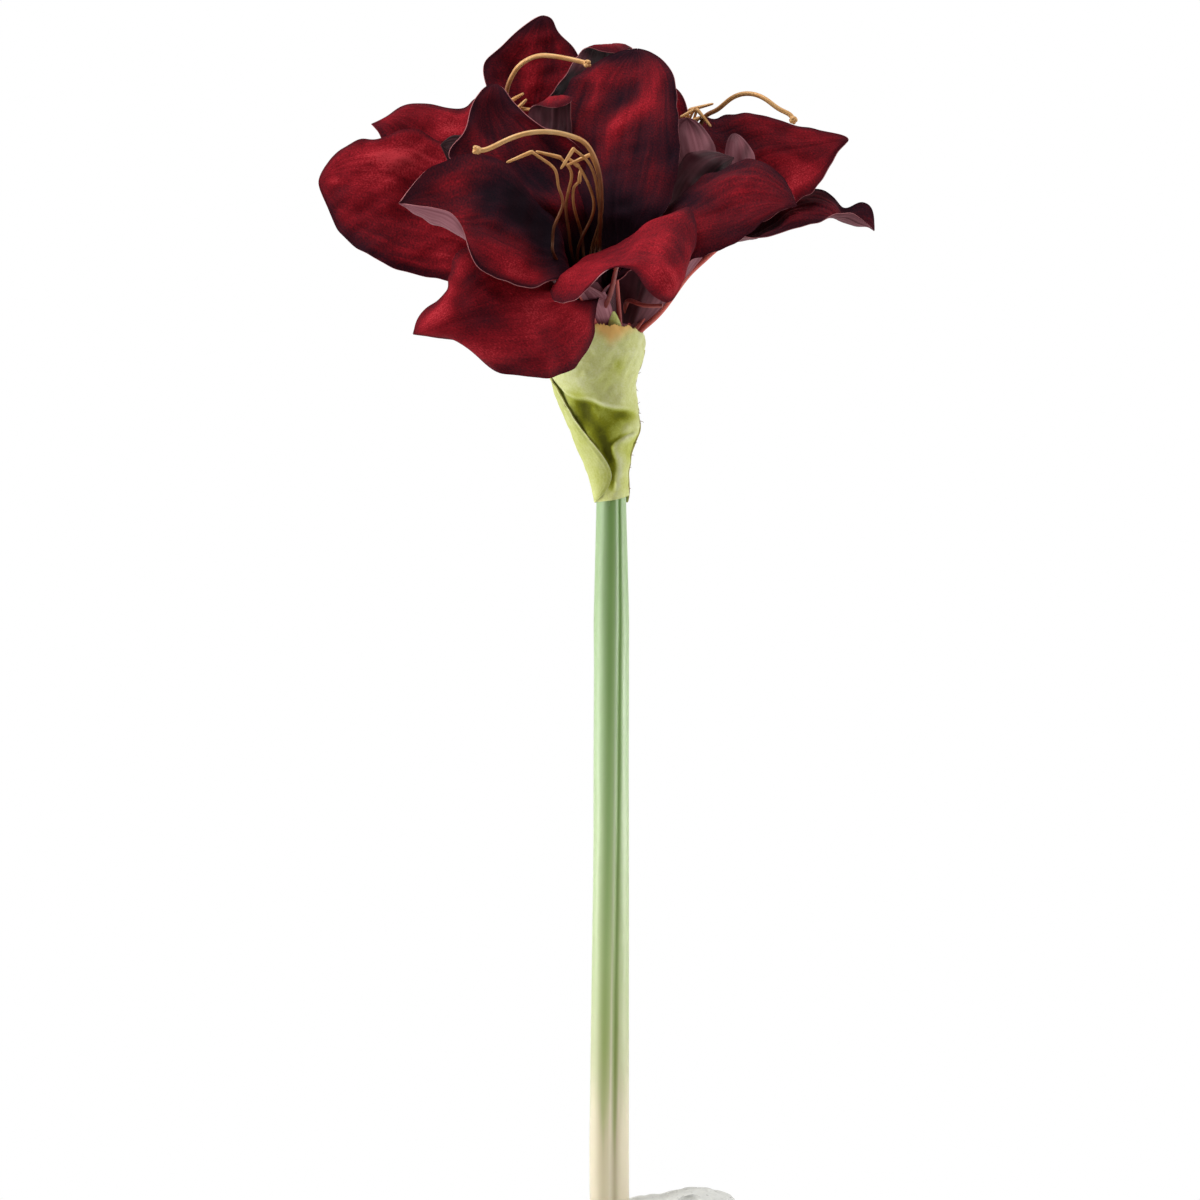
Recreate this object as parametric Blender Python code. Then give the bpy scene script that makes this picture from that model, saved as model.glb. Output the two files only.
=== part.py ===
"""Amaryllis with three open blooms on one scape, standing in a low pebble-shaped stoneware vase.

Frame: +Z up, the origin is the centre of the vase's foot, on the axis of the hole that holds the
scape. The blooms face -Y, the side that the photograph shows. All the values below are
millimetres; MM turns them into metres where a mesh is made.
"""
import math
from collections import namedtuple

import bmesh
import bpy
import numpy as np

MM = 0.001

# Driving dimensions
GAP = 0.3                     # clearance between neighbouring pieces
VASE_WIDTH = 158.0
VASE_DEPTH = 120.0
VASE_HEIGHT = 144.5           # height of the vase's top at the scape's hole
VASE_BELLY = 0.43             # share of the height at which the vase is widest
VASE_CENTRE_X = 8.0           # the body leans to the right of its foot
VASE_WALL = 9.0
VASE_FLOOR = 12.0
HOLE_RADIUS = 11.5
PIT_RADIUS = 5.5              # the small blind pit in the right shoulder
PIT_DEPTH = 6.5
PIT_PLACE = (39.5, -19.0)

SCAPE_BOTTOM_RADIUS = 10.0
SCAPE_TOP_RADIUS = 7.8
SCAPE_TOP = 503.0             # where the pedicels fork
GROOVE_DEPTH = 0.7
PEDICEL_RADIUS = 3.9
SPIGOT_RADIUS = 2.2
SPIGOT_LENGTH = 5.0

TUBE_ROOT_RADIUS = 5.0        # the petals' ring at the foot of a bloom
TUBE_THROAT_RADIUS = 12.0     # the same ring at the mouth of the tube
TUBE_LENGTH = 34.0
ROOT_SPREAD = 42.0            # half of the angle that a petal takes round the ring, in degrees
PETAL_THICKNESS = 0.8
PETAL_ROWS = 12
PETAL_COLUMNS = 5
CORE_HEIGHT = 14.0            # solid foot of each bloom

FILAMENT_RADIUS = 0.8
PISTIL_RADIUS = 1.25
ANTHER_RADIUS = 1.3
PEG_RADIUS = 2.6
PEG_LENGTH = 5.0

BRACT_THICKNESS = 0.8
BRACT_BOTTOM = 494.5
BRACT_TOP = 583.0

Petal = namedtuple("Petal", "stations tip blunt wave layer")
Bloom = namedtuple("Bloom", "name base axis petals pistil filaments anthers")

# A petal's stations run from the throat outwards. Each holds its left edge, midrib and right edge
# as seen on the inner face with the tip up. "blunt" closes the outline in one round curve over
# the tip, "wave" is the height of the ruffle and "layer" lifts outer petals off inner ones.
FRONT_PETALS = {
    "top": Petal([
        [(-19, -30, 650), (1, -46, 639), (28, -52, 637)],
        [(-27, -10, 687), (8, -34, 672), (34.5, -40, 669)],
        [(-17, -6, 706.5), (15, -18, 701), (31.5, -26, 700)],
    ], (13, -6, 720.5), True, 1.5, 2.0),
    "top_left": Petal([
        [(-64.5, -60, 635), (-34.5, -50, 635), (-9, -46, 644)],
        [(-77.5, -48, 664.5), (-48.5, -34, 664.5), (-19.5, -44, 673.5)],
        [(-71, -30, 684), (-56, -24, 687), (-39.5, -32, 681.5)],
    ], (-59.5, -18, 700.5), True, 1.5, 0.0),
    "left": Petal([
        [(-27.5, -78, 597.5), (-23.5, -56, 610), (-26.5, -44, 634)],
        [(-47, -88, 597), (-40, -70, 616), (-40, -50, 646)],
        [(-70.5, -96, 620), (-63.5, -82, 628.5), (-66.5, -58, 663.5)],
        [(-81.5, -94, 631.5), (-87, -82, 631.5), (-89, -74, 653)],
    ], (-100.5, -88, 636.5), False, 1.5, 2.0),
    "low_left": Petal([
        [(-9, -46, 570.5), (-29.5, -62, 591.5), (-44, -60, 612)],
        [(-46.5, -62, 553), (-56, -82, 584), (-72, -62, 615.5)],
        [(-76.5, -72, 570.5), (-81, -84, 577.5), (-85, -76, 589.5)],
    ], (-95, -78, 574.5), False, 2.0, 1.0),
    "low_right": Petal([
        [(-9, -50, 613), (-20.5, -62, 604), (-29.5, -72, 595.5)],
        [(12.5, -56, 625), (-5, -78, 611.5), (-21.5, -88, 587.5)],
        [(30, -64, 635.5), (10.5, -94, 614), (-2, -106, 603.5)],
        [(40.5, -74, 635), (24.5, -108, 611), (13, -114, 601)],
        [(42, -90, 613.5), (33, -112, 601), (20.5, -112, 589)],
    ], (30, -106, 587), True, 1.0, 2.0),
    "right": Petal([
        [(28.5, -40, 639), (30, -62, 622.5), (31, -76, 607.5)],
        [(62.5, -40, 661.5), (58, -64, 637.5), (55, -74, 616)],
        [(84, -48, 653), (77.5, -64, 640.5), (74.5, -70, 630)],
    ], (90.5, -62, 637.5), False, 1.5, 0.0),
}
LEFT_PETALS = {
    "big_left": Petal([
        [(-64.5, -20, 600.5), (-67, -4, 632.5), (-71, 6, 671)],
        [(-107.5, -28, 609.5), (-105.5, -10, 648.5), (-106, 0, 681.5)],
        [(-134.5, -26, 629.5), (-130, -14, 652), (-132, -10, 672.5)],
    ], (-144.5, -18, 653), True, 2.0, 2.0),
    "far_left": Petal([
        [(-62.5, 18, 641), (-58, 34, 658.5), (-52, 46, 680.5)],
        [(-93.5, 22, 661.5), (-86.5, 36, 679.5), (-79, 48, 700.5)],
        [(-114, 25, 677), (-106.5, 34, 687), (-107, 40, 698)],
    ], (-121.5, 32, 687.5), False, 2.0, 0.0),
    "crown": Petal([
        [(-55.5, 20, 682.5), (-40.5, 34, 679), (-19, 34, 689)],
        [(-63, 26, 713.5), (-39.5, 38, 711), (-15, 38, 719)],
        [(-50.5, 34, 732), (-37.5, 40, 729.5), (-25, 40, 731.5)],
    ], (-32.5, 40, 743), True, 1.5, 2.0),
    "curled": Petal([
        [(-31, -8, 654.5), (-45, 2, 653), (-59, 10, 656.5)],
        [(-19.5, -30, 676.5), (-32, -22, 678), (-47.5, -6, 680)],
        [(-19, -28, 693), (-27, -22, 694), (-34.5, -14, 693)],
    ], (-26.5, -40, 685), False, 0.5, 1.0),
    "far_right": Petal([
        [(-8, 34, 658.5), (-19, 16, 652), (-32.5, 10, 651.5)],
        [(6, 50, 695.5), (-10, 26, 690.5), (-22, 16, 695)],
        [(11, 50, 717), (-4, 32, 718.5), (-14, 20, 718)],
    ], (0, 36, 730), False, 1.5, 2.0),
    "near": Petal([
        [(-45, 0, 650.5), (-44, -12, 634.5), (-45.5, -16, 620)],
        [(-61, -6, 670), (-59.5, -18, 654), (-62.5, -22, 637.5)],
        [(-75.5, -14, 676), (-74.5, -22, 666), (-76, -26, 654)],
    ], (-84, -24, 670), False, 1.0, 1.0),
}
RIGHT_PETALS = {
    "high_right": Petal([
        [(45.5, 20, 675), (51, 6, 648.5), (55.5, -12, 627)],
        [(71.5, 12, 691), (79, 2, 668), (90.5, -14, 640.5)],
        [(100.5, 2, 682.5), (102.5, -4, 672.5), (106.5, -14, 655)],
    ], (118, -6, 677), False, 2.0, 2.0),
    "wavy_right": Petal([
        [(57.5, 8, 640), (53, -2, 620.5), (55.5, -20, 622.5)],
        [(93, 6, 653), (92, -6, 639), (90, -18, 629.5)],
        [(120, -4, 644), (119.5, -12, 637.5), (116.5, -20, 632)],
    ], (132, -12, 630.5), False, 3.0, 0.0),
    "near_tall": Petal([
        [(45, -4, 627.5), (34.5, -14, 624.5), (23, -6, 629)],
        [(59, -6, 655), (45.5, -18, 653), (31, -10, 659.5)],
        [(53.5, -6, 671), (44.5, -14, 674), (32.5, -6, 681)],
    ], (43, -8, 684), True, 1.0, 2.0),
    "near_low": Petal([
        [(36.5, -18, 618), (28.5, -22, 623.5), (20, -10, 633.5)],
        [(46.5, -24, 637.5), (40.5, -26, 648), (34.5, -16, 661.5)],
        [(52.5, -22, 653.5), (51.5, -24, 660), (47.5, -18, 668.5)],
    ], (61, -16, 664), False, 1.0, 0.0),
    "small": Petal([
        [(57, -4, 631), (48.5, -12, 629.5), (40, -6, 634)],
        [(73, -8, 655.5), (64.5, -16, 654), (54.5, -10, 655.5)],
        [(72, -10, 668.5), (65.5, -14, 670), (58.5, -10, 669.5)],
    ], (63.5, -8, 676.5), False, 1.0, 1.0),
    "back": Petal([
        [(12, 20, 645), (29.5, 34, 646), (46, 34, 646)],
        [(11, 32, 674), (31, 48, 675.5), (50, 44, 675)],
        [(17, 44, 696.5), (31, 54, 699), (41, 50, 695)],
    ], (32, 56, 709), True, 1.5, 2.0),
}

# The pistil and the filaments leave the peg in the bloom's foot and run on through these points;
# an anther lies between its two points and its filament runs to the first.
BLOOMS = [
    Bloom("front", (-1, -6, 574), (-0.30, -0.60, 0.74), FRONT_PETALS,
          [(-5, -44, 612), (-4.5, -60, 632), (-4, -71, 647), (-6, -78, 660), (-10.5, -84, 669.5),
           (-17, -88, 674), (-27, -92, 676.5), (-39, -96, 676), (-50, -98, 673), (-60, -98, 668),
           (-66, -98, 668)],
          [[(-17, -46, 613), (-25, -64, 632), (-23, -74, 648), (-29, -79, 661), (-39, -82, 666)],
           [(-18, -44, 612), (-20, -60, 632), (-18, -72, 652), (-27, -78, 664.5), (-36, -82, 667)],
           [(-8, -46, 614), (-4.5, -62, 638), (-8, -74, 658), (-15, -80, 668), (-19, -82, 668)],
           [(-15, -42, 612), (-17, -58, 636), (-14.5, -68, 650), (-18, -72, 658)],
           [(-11, -44, 612), (-8, -58, 634), (-9, -70, 650), (-13, -76, 662)]],
          [((-39, -82, 666), (-50, -84, 662)), ((-19, -82, 668), (-25, -84, 659)),
           ((-36, -82, 667), (-44, -84, 665)), ((-13, -76, 662), (-9.5, -78, 668)),
           ((-18, -72, 658), (-21, -78, 663))]),
    Bloom("left", (-9, 8, 574), (-0.46, 0.16, 0.87), LEFT_PETALS,
          [(-31, 12, 625), (-44, 10, 664), (-51, 6, 690), (-51.5, 2, 701), (-48.5, -2, 708),
           (-44, -6, 713), (-37, -10, 716), (-30, -13, 716), (-22, -15, 714.5), (-14, -17, 712.5),
           (-11.5, -18, 711.5)],
          [[(-32, 10, 625), (-43, 8, 655), (-48, 4, 684), (-47, 0, 698)],
           [(-29, 11, 625), (-40, 7, 655), (-43, 2, 682), (-44, -2, 695)],
           [(-28, 13, 625), (-37, 9, 655), (-39, 4, 680), (-42, 0, 693)]],
          [((-47, 0, 698), (-51, -3, 694)), ((-44, -2, 695), (-46, -5, 691)),
           ((-42, 0, 693), (-35.5, -4, 692))]),
    Bloom("right", (6, 10, 574), (0.50, 0.10, 0.86), RIGHT_PETALS,
          [(27, 11, 625), (40, 9, 662), (46, 4, 685), (53, 2, 690.5), (60.5, -2, 696),
           (69, -6, 698), (77, -10, 695), (83.5, -12, 690), (89, -13, 687), (91, -14, 684)],
          [[(26, 13, 625), (36, 11, 660), (41, 8, 683), (46, 5, 692)],
           [(25, 11, 625), (34, 9, 660), (39, 6, 680), (44, 3, 691)],
           [(23, 13, 625), (31, 12, 660), (37, 8, 680), (41, 4, 691)]],
          [((46, 5, 692), (52, 2, 694)), ((44, 3, 691), (50.5, 0, 682)),
           ((41, 4, 691), (36, 1, 687))]),
]

# The bracts' envelope round the pedicels: height, left and right limit, front and back limit.
ENVELOPE = np.array([
    (494.5, -8.9, 9.9, -9.4, 9.4),
    (500.0, -9.2, 9.8, -9.6, 9.6),
    (511.0, -11.5, 10.2, -11.5, 10.5),
    (521.0, -16.0, 11.5, -13.5, 14.0),
    (534.5, -22.5, 15.2, -17.0, 18.0),
    (547.5, -28.5, 14.2, -21.5, 20.0),
    (556.5, -31.0, 14.6, -24.0, 21.0),
    (571.0, -33.0, 17.6, -27.0, 23.0),
    (583.0, -33.5, 18.2, -30.0, 26.0),
])
# Height and place, in degrees round the envelope, of the left bract's free front edge.
LEFT_BRACT_EDGE = np.array([
    (494.5, 150.0), (502.0, 104.0), (507.0, 84.0), (511.0, 82.0), (519.0, 98.0),
    (532.0, 125.0), (543.0, 138.0), (556.5, 160.0), (571.0, 168.0), (583.0, 172.0),
])


def unit(vector):
    """A vector, or rows of vectors, at length one."""
    vector = np.asarray(vector, float)
    return vector / np.maximum(np.linalg.norm(vector, axis=-1, keepdims=True), 1e-9)


def natural_curve(points, places):
    """Natural cubic spline through points at whole-number places, read at the given places."""
    points = np.asarray(points, float)
    count = len(points)
    system = np.eye(count)
    right_side = np.zeros(points.shape)
    for i in range(1, count - 1):
        system[i, i - 1:i + 2] = (1, 4, 1)
        right_side[i] = 6 * (points[i + 1] - 2 * points[i] + points[i - 1])
    bend = np.linalg.solve(system, right_side)
    places = np.asarray(places, float)
    i = np.clip(np.floor(places).astype(int), 0, count - 2)
    f = (places - i)[:, None]
    straight = (1 - f) * points[i] + f * points[i + 1]
    return straight + (((1 - f) ** 3 - (1 - f)) * bend[i] + (f ** 3 - f) * bend[i + 1]) / 6


def petal_surface(bloom, petal, rows, columns):
    """Grid of points over a petal's middle surface.

    Two rings on the bloom's tube and the petal's own stations give the left edge, the midrib and
    the right edge. Splines run along them, a parabola joins them across, and the ruffle grows
    with the cube of the distance from the midrib.
    """
    base = np.array(bloom.base, float)
    axis = unit(bloom.axis)
    towards = np.array(petal.stations[0][1], float) - base
    outward = unit(towards - (towards @ axis) * axis)
    sideways = np.cross(outward, axis)
    spread = math.radians(ROOT_SPREAD)

    def ring(height, radius):
        centre = base + axis * height
        middle = outward * math.cos(spread)
        side = sideways * math.sin(spread)
        return [centre + radius * (middle - side), centre + radius * outward,
                centre + radius * (middle + side)]

    stations = [ring(2.0, TUBE_ROOT_RADIUS + 0.3 * petal.layer),
                ring(TUBE_LENGTH, TUBE_THROAT_RADIUS + petal.layer)] + petal.stations
    tip = np.array(petal.tip, float)
    left, middle, right = [[np.array(s[k], float) for s in stations] + [tip] for k in range(3)]
    last = len(middle) - 1
    along = last * (1 - (1 - np.linspace(0, 0.985, rows)) ** 1.25)
    midrib = natural_curve(middle, along)
    if petal.blunt:
        outline = left + right[-2::-1]
        left_edge = natural_curve(outline, along)
        right_edge = natural_curve(outline, 2 * last - along)
    else:
        left_edge = natural_curve(left, along)
        right_edge = natural_curve(right, along)
    v = np.linspace(-1, 1, columns)[None, :, None]
    grid = (left_edge[:, None] * (v * v - v) / 2 + midrib[:, None] * (1 - v * v)
            + right_edge[:, None] * (v * v + v) / 2)
    inward = unit(np.cross(right_edge - left_edge, np.gradient(midrib, axis=0)))
    t = (along / last)[:, None, None]
    fade = np.clip((t - 0.35) / 0.3, 0, 1) * np.clip((1 - t) / 0.12, 0, 1)
    ripple = np.sin(16.0 * t + 1.9 * (v > 0))
    return grid + inward[:, None] * petal.wave * np.abs(v) ** 3 * fade * ripple


def mesh_object(name, points, faces, material):
    """A named object from points in millimetres."""
    mesh = bpy.data.meshes.new(name)
    mesh.from_pydata((np.asarray(points) * MM).tolist(), [], faces)
    mesh.materials.append(material)
    mesh.update()
    thing = bpy.data.objects.new(name, mesh)
    bpy.context.scene.collection.objects.link(thing)
    return thing


def sheet_object(name, grid, thickness, material):
    """Closed blade of even thickness round a grid, split into the same triangles on both faces."""
    rows, columns = grid.shape[:2]
    normal = unit(np.cross(np.gradient(grid, axis=0), np.gradient(grid, axis=1)))
    half = normal * thickness / 2
    points = np.concatenate([(grid + half).reshape(-1, 3), (grid - half).reshape(-1, 3)])
    under = rows * columns
    faces = []
    for i in range(rows - 1):
        for j in range(columns - 1):
            a, b = i * columns + j, (i + 1) * columns + j
            for p, q, r in ((a, b, b + 1), (a, b + 1, a + 1)):
                faces.append((p, q, r))
                faces.append((r + under, q + under, p + under))
    rim = [j for j in range(columns)]
    rim += [i * columns + columns - 1 for i in range(1, rows)]
    rim += [(rows - 1) * columns + j for j in range(columns - 2, -1, -1)]
    rim += [i * columns for i in range(rows - 2, 0, -1)]
    for p, q in zip(rim, rim[1:] + rim[:1]):
        faces.append((p, q, q + under))
        faces.append((p, q + under, p + under))
    return mesh_object(name, points, faces, material)


def lathe_points(base, axis, profile, sides):
    """Rings of points round an axis; a profile holds (radius, height) and ends on the axis."""
    base = np.array(base, float)
    axis = unit(axis)
    across = unit(np.cross(axis, (0.0, 1.0, 0.3)))
    other = np.cross(axis, across)
    turn = np.linspace(0, 2 * math.pi, sides, endpoint=False)[:, None]
    circle = np.cos(turn) * across + np.sin(turn) * other
    return [base + axis * height + radius * circle for radius, height in profile]


def rings_object(name, first, rings, last, material):
    """Closed body through rings of equal length, from one pole to the other."""
    sides = len(rings[0])
    points = np.concatenate([[first]] + list(rings) + [[last]])
    faces = []
    for k in range(len(rings) - 1):
        for j in range(sides):
            a, b = 1 + k * sides + j, 1 + k * sides + (j + 1) % sides
            faces.append((a, b, b + sides))
            faces.append((a, b + sides, a + sides))
    top = 1 + (len(rings) - 1) * sides
    for j in range(sides):
        after = (j + 1) % sides
        faces.append((0, 1 + after, 1 + j))
        faces.append((len(points) - 1, top + j, top + after))
    return mesh_object(name, points, faces, material)


def lathe_object(name, base, axis, profile, sides, material):
    """Turned body along an axis; the profile starts and ends at radius zero."""
    rings = lathe_points(base, axis, profile[1:-1], sides)
    base = np.array(base, float)
    axis = unit(axis)
    return rings_object(name, base + axis * profile[0][1], rings, base + axis * profile[-1][1],
                        material)


def tube_object(name, path, radii, sides, material, section=None):
    """Body swept along a path; its frame is carried along without twist."""
    path = np.asarray(path, float)
    heading = unit(np.gradient(path, axis=0))
    across = unit(np.cross(heading[0], (0.3, 1.0, 0.2)))
    turn = np.linspace(0, 2 * math.pi, sides, endpoint=False)[:, None]
    shape = np.ones((sides, 1)) if section is None else section(turn)
    rings = []
    for point, ahead, radius in zip(path, heading, np.broadcast_to(radii, len(path))):
        across = unit(across - (across @ ahead) * ahead)
        other = np.cross(ahead, across)
        rings.append(point + radius * shape * (np.cos(turn) * across + np.sin(turn) * other))
    return rings_object(name, path[0], rings, path[-1], material)


def settle_mesh(thing):
    """Bake the modifiers, weld stray doubles and drop every body but the largest."""
    graph = bpy.context.evaluated_depsgraph_get()
    mesh = bpy.data.meshes.new_from_object(thing.evaluated_get(graph))
    thing.modifiers.clear()
    thing.data = mesh
    work = bmesh.new()
    work.from_mesh(mesh)
    bmesh.ops.remove_doubles(work, verts=work.verts, dist=0.0000002)
    bmesh.ops.dissolve_degenerate(work, edges=work.edges, dist=0.0000002)
    bmesh.ops.triangulate(work, faces=work.faces)
    unseen = set(work.verts)
    groups = []
    while unseen:
        stack = [unseen.pop()]
        group = set(stack)
        while stack:
            for edge in stack.pop().link_edges:
                for vert in edge.verts:
                    if vert in unseen:
                        unseen.remove(vert)
                        group.add(vert)
                        stack.append(vert)
        groups.append(group)
    groups.sort(key=len)
    for group in groups[:-1]:
        bmesh.ops.delete(work, geom=list(group), context="VERTS")
    work.to_mesh(mesh)
    work.free()
    mesh.update()


def fuse(body, pieces, solver="EXACT"):
    """Join pieces to a body with one Boolean union on a collection, then remove the pieces."""
    group = bpy.data.collections.new(body.name + "_pieces")
    bpy.context.scene.collection.children.link(group)
    for piece in pieces:
        bpy.context.scene.collection.objects.unlink(piece)
        group.objects.link(piece)
    union = body.modifiers.new("Fuse", "BOOLEAN")
    union.operation = "UNION"
    union.operand_type = "COLLECTION"
    union.collection = group
    union.solver = solver
    settle_mesh(body)
    for piece in pieces:
        bpy.data.objects.remove(piece)
    bpy.data.collections.remove(group)
    return body


def make_material(name, colour, roughness, metallic=0.0):
    """Principled material of one plain colour."""
    material = bpy.data.materials.new(name)
    material.use_nodes = True
    shader = material.node_tree.nodes["Principled BSDF"]
    shader.inputs["Base Color"].default_value = (*colour, 1.0)
    shader.inputs["Roughness"].default_value = roughness
    shader.inputs["Metallic"].default_value = metallic
    material.diffuse_color = (*colour, 1.0)
    return material


def shade(thing, angle=40.0):
    """Smooth shading with the sharp edges kept."""
    thing.data.shade_smooth()
    thing.data.set_sharp_from_angle(angle=math.radians(angle))


def make_bloom(bloom, velvet):
    """Six petals on a solid foot that has a socket below and the stamens' hole above."""
    foot_profile = [(0.0, SPIGOT_LENGTH + GAP), (SPIGOT_RADIUS + GAP, SPIGOT_LENGTH + GAP),
                    (SPIGOT_RADIUS + GAP, 0.0), (5.0, 0.0), (6.6, 5.0), (8.6, CORE_HEIGHT - 1.5),
                    (7.4, CORE_HEIGHT), (PEG_RADIUS + GAP, CORE_HEIGHT),
                    (PEG_RADIUS + GAP, CORE_HEIGHT - PEG_LENGTH - GAP),
                    (0.0, CORE_HEIGHT - PEG_LENGTH - GAP)]
    foot = lathe_object("bloom_" + bloom.name, bloom.base, bloom.axis, foot_profile, 14, velvet)
    petals = []
    for name, petal in bloom.petals.items():
        grid = petal_surface(bloom, petal, PETAL_ROWS, PETAL_COLUMNS)
        petals.append(sheet_object(name, grid, PETAL_THICKNESS, velvet))
    fuse(foot, petals, "MANIFOLD")
    shade(foot, 60.0)
    return foot


def make_stamens(bloom, gold):
    """Peg in the bloom's foot with the pistil, the filaments and their anthers."""
    peg_profile = [(0.0, CORE_HEIGHT - PEG_LENGTH), (PEG_RADIUS, CORE_HEIGHT - PEG_LENGTH),
                   (PEG_RADIUS, CORE_HEIGHT + 2.0), (PEG_RADIUS + 1.0, CORE_HEIGHT + 4.0),
                   (0.0, CORE_HEIGHT + 6.0)]
    peg = lathe_object("stamens_" + bloom.name, bloom.base, bloom.axis, peg_profile, 10, gold)
    axis = unit(bloom.axis)
    root = np.array(bloom.base, float) + axis * (CORE_HEIGHT + 3.0)
    pieces = []
    route = [root] + bloom.pistil
    path = natural_curve(route, np.linspace(0, len(route) - 1, int(1.5 * len(route))))
    radii = np.full(len(path), PISTIL_RADIUS)
    radii[-1] = 1.2 * PISTIL_RADIUS
    radii[-2] = 1.9 * PISTIL_RADIUS
    pieces.append(tube_object("pistil", path, radii, 6, gold))
    for number, points in enumerate(bloom.filaments):
        turn = 2 * math.pi * number / len(bloom.filaments)
        start = root + 1.4 * np.array((math.cos(turn), 0.5 * math.sin(turn), 0.0))
        path = natural_curve([start] + points, np.linspace(0, len(points), 2 * len(points) + 1))
        pieces.append(tube_object("filament", path, FILAMENT_RADIUS, 5, gold))
    for start, end in bloom.anthers:
        start, end = np.array(start, float), np.array(end, float)
        path = [start + (end - start) * f for f in (-0.12, 0.1, 0.5, 0.9, 1.05)]
        radii = np.array((0.5, 1.0, 0.9, 1.0, 0.45)) * ANTHER_RADIUS
        pieces.append(tube_object("anther", path, radii, 6, gold))
    fuse(peg, pieces, "MANIFOLD")
    shade(peg, 60.0)
    return peg


def scape_section(turn):
    """Round with two shallow grooves on either side of a ridge that faces the front."""
    front = math.radians(-90)
    apart = math.radians(24)
    width = math.radians(14)
    cut = sum(np.exp(-((np.angle(np.exp(1j * (turn - front - side))) / width) ** 2))
              for side in (-apart, apart))
    return 1 - cut * GROOVE_DEPTH / SCAPE_BOTTOM_RADIUS


def make_scape(stem):
    """The ridged scape with its three pedicels, which end in spigots in the blooms' sockets."""
    heights = np.array([VASE_FLOOR + GAP, 60, 180, 260, 330, 420, 480, SCAPE_TOP])
    radii = np.interp(heights, [0, 175, 330, SCAPE_TOP - 8],
                      [SCAPE_BOTTOM_RADIUS, SCAPE_BOTTOM_RADIUS, 9.2, SCAPE_TOP_RADIUS])
    turn = np.linspace(0, 2 * math.pi, 24, endpoint=False)[:, None]
    flat = scape_section(turn) * np.concatenate([np.cos(turn), np.sin(turn), 0 * turn], axis=1)
    rings = [radius * flat + (0, 0, height) for height, radius in zip(heights, radii)]
    scape = rings_object("scape", (0, 0, heights[0]), rings, (0, 0, heights[-1] + 1.0), stem)
    pedicels = []
    for bloom in BLOOMS:
        base = np.array(bloom.base, float)
        axis = unit(bloom.axis)
        outward = unit((base[0], base[1], 0.0))
        start = outward * 3.2 + (0, 0, SCAPE_TOP - 12)
        corners = [start, start + (0, 0, 36), base - axis * 24, base - axis * 4]
        t = np.linspace(0, 1, 9)[:, None]
        path = ((1 - t) ** 3 * corners[0] + 3 * t * (1 - t) ** 2 * corners[1]
                + 3 * t * t * (1 - t) * corners[2] + t ** 3 * corners[3])
        seat = base - axis * GAP
        path = np.concatenate([path, [seat, seat + axis * 0.01, base + axis * SPIGOT_LENGTH]])
        radii = [PEDICEL_RADIUS] * 10 + [SPIGOT_RADIUS] * 2
        pedicels.append(tube_object("pedicel", path, radii, 10, stem))
    fuse(scape, pedicels)
    shade(scape)
    return scape


def envelope_point(height, degrees, offset):
    """Point on the bracts' envelope; 0 degrees is right, 90 the front and 180 the left."""
    left, right, front, back = (np.interp(height, ENVELOPE[:, 0], ENVELOPE[:, k])
                                for k in (1, 2, 3, 4))
    turn = np.radians(degrees)
    x = (left + right) / 2 + ((right - left) / 2 + offset) * np.cos(turn)
    y = (front + back) / 2 - ((back - front) / 2 + offset) * np.sin(turn)
    return np.stack([x, y, np.broadcast_to(height, x.shape)], axis=-1)


def make_bracts(leaf):
    """The front bract, the left bract that wraps round it and the slim inner one."""
    rows = np.linspace(0, 1, 13)[:, None]
    across = np.linspace(0, 1, 11)[None, :]
    lift = BRACT_TOP - BRACT_BOTTOM

    degrees = -30 + 185 * across + 0 * rows
    top = np.interp(degrees, (-30, 0, 60, 80, 97, 115, 155),
                    (-14.0, -4.5, -0.5, 0.0, -2.5, -7.0, -14.0))
    height = BRACT_BOTTOM + rows * (lift + top)
    fold = np.exp(-((height - 541) / 6.0) ** 2) * np.exp(-((degrees - 70) / 45.0) ** 2)
    bulge = np.exp(-((height - 553) / 9.0) ** 2) * np.exp(-((degrees - 70) / 50.0) ** 2)
    front = sheet_object("bract_front", envelope_point(height, degrees, bulge * 1.2 - fold * 3.0),
                         BRACT_THICKNESS, leaf)

    height = BRACT_BOTTOM + rows * (lift - 3.0 - 9.0 * across)
    edge = np.interp(height, LEFT_BRACT_EDGE[:, 0], LEFT_BRACT_EDGE[:, 1])
    degrees = edge + (338.0 - edge) * across
    left = sheet_object("bract_left", envelope_point(height, degrees, 2.2), BRACT_THICKNESS, leaf)

    middle = np.array([(5.0, -6.8, 512), (4.5, -9.5, 540), (4.5, -17.0, 565), (3.2, -23.9, 581),
                       (2.5, -28.6, 589)])
    spine = natural_curve(middle, np.linspace(0, 4, 9))
    width = np.interp(np.linspace(0, 4, 9), (0, 1, 3, 4), (2.0, 3.0, 2.4, 0.8))
    v = np.linspace(-1, 1, 3)[None, :, None]
    side = unit(np.array((1.0, 0.15, 0.0)))
    blade = spine[:, None] + side * width[:, None, None] * v
    inner = sheet_object("bract_inner", blade, BRACT_THICKNESS, leaf)
    for bract in (front, left, inner):
        shade(bract, 60.0)
    return front, left, inner


def vase_lift(x, share):
    """Slope of the top: up to the right shoulder, down to the left, fading out further down."""
    slope = np.interp(x, (-75, -30, -10, 5, 25, 46, 60, 85),
                      (-14.0, -7.0, -3.5, -1.0, 2.5, 9.0, 11.0, -2.0))
    return slope * min(max((share - 0.25) / 0.75, 0.0), 1.0) ** 2


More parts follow.
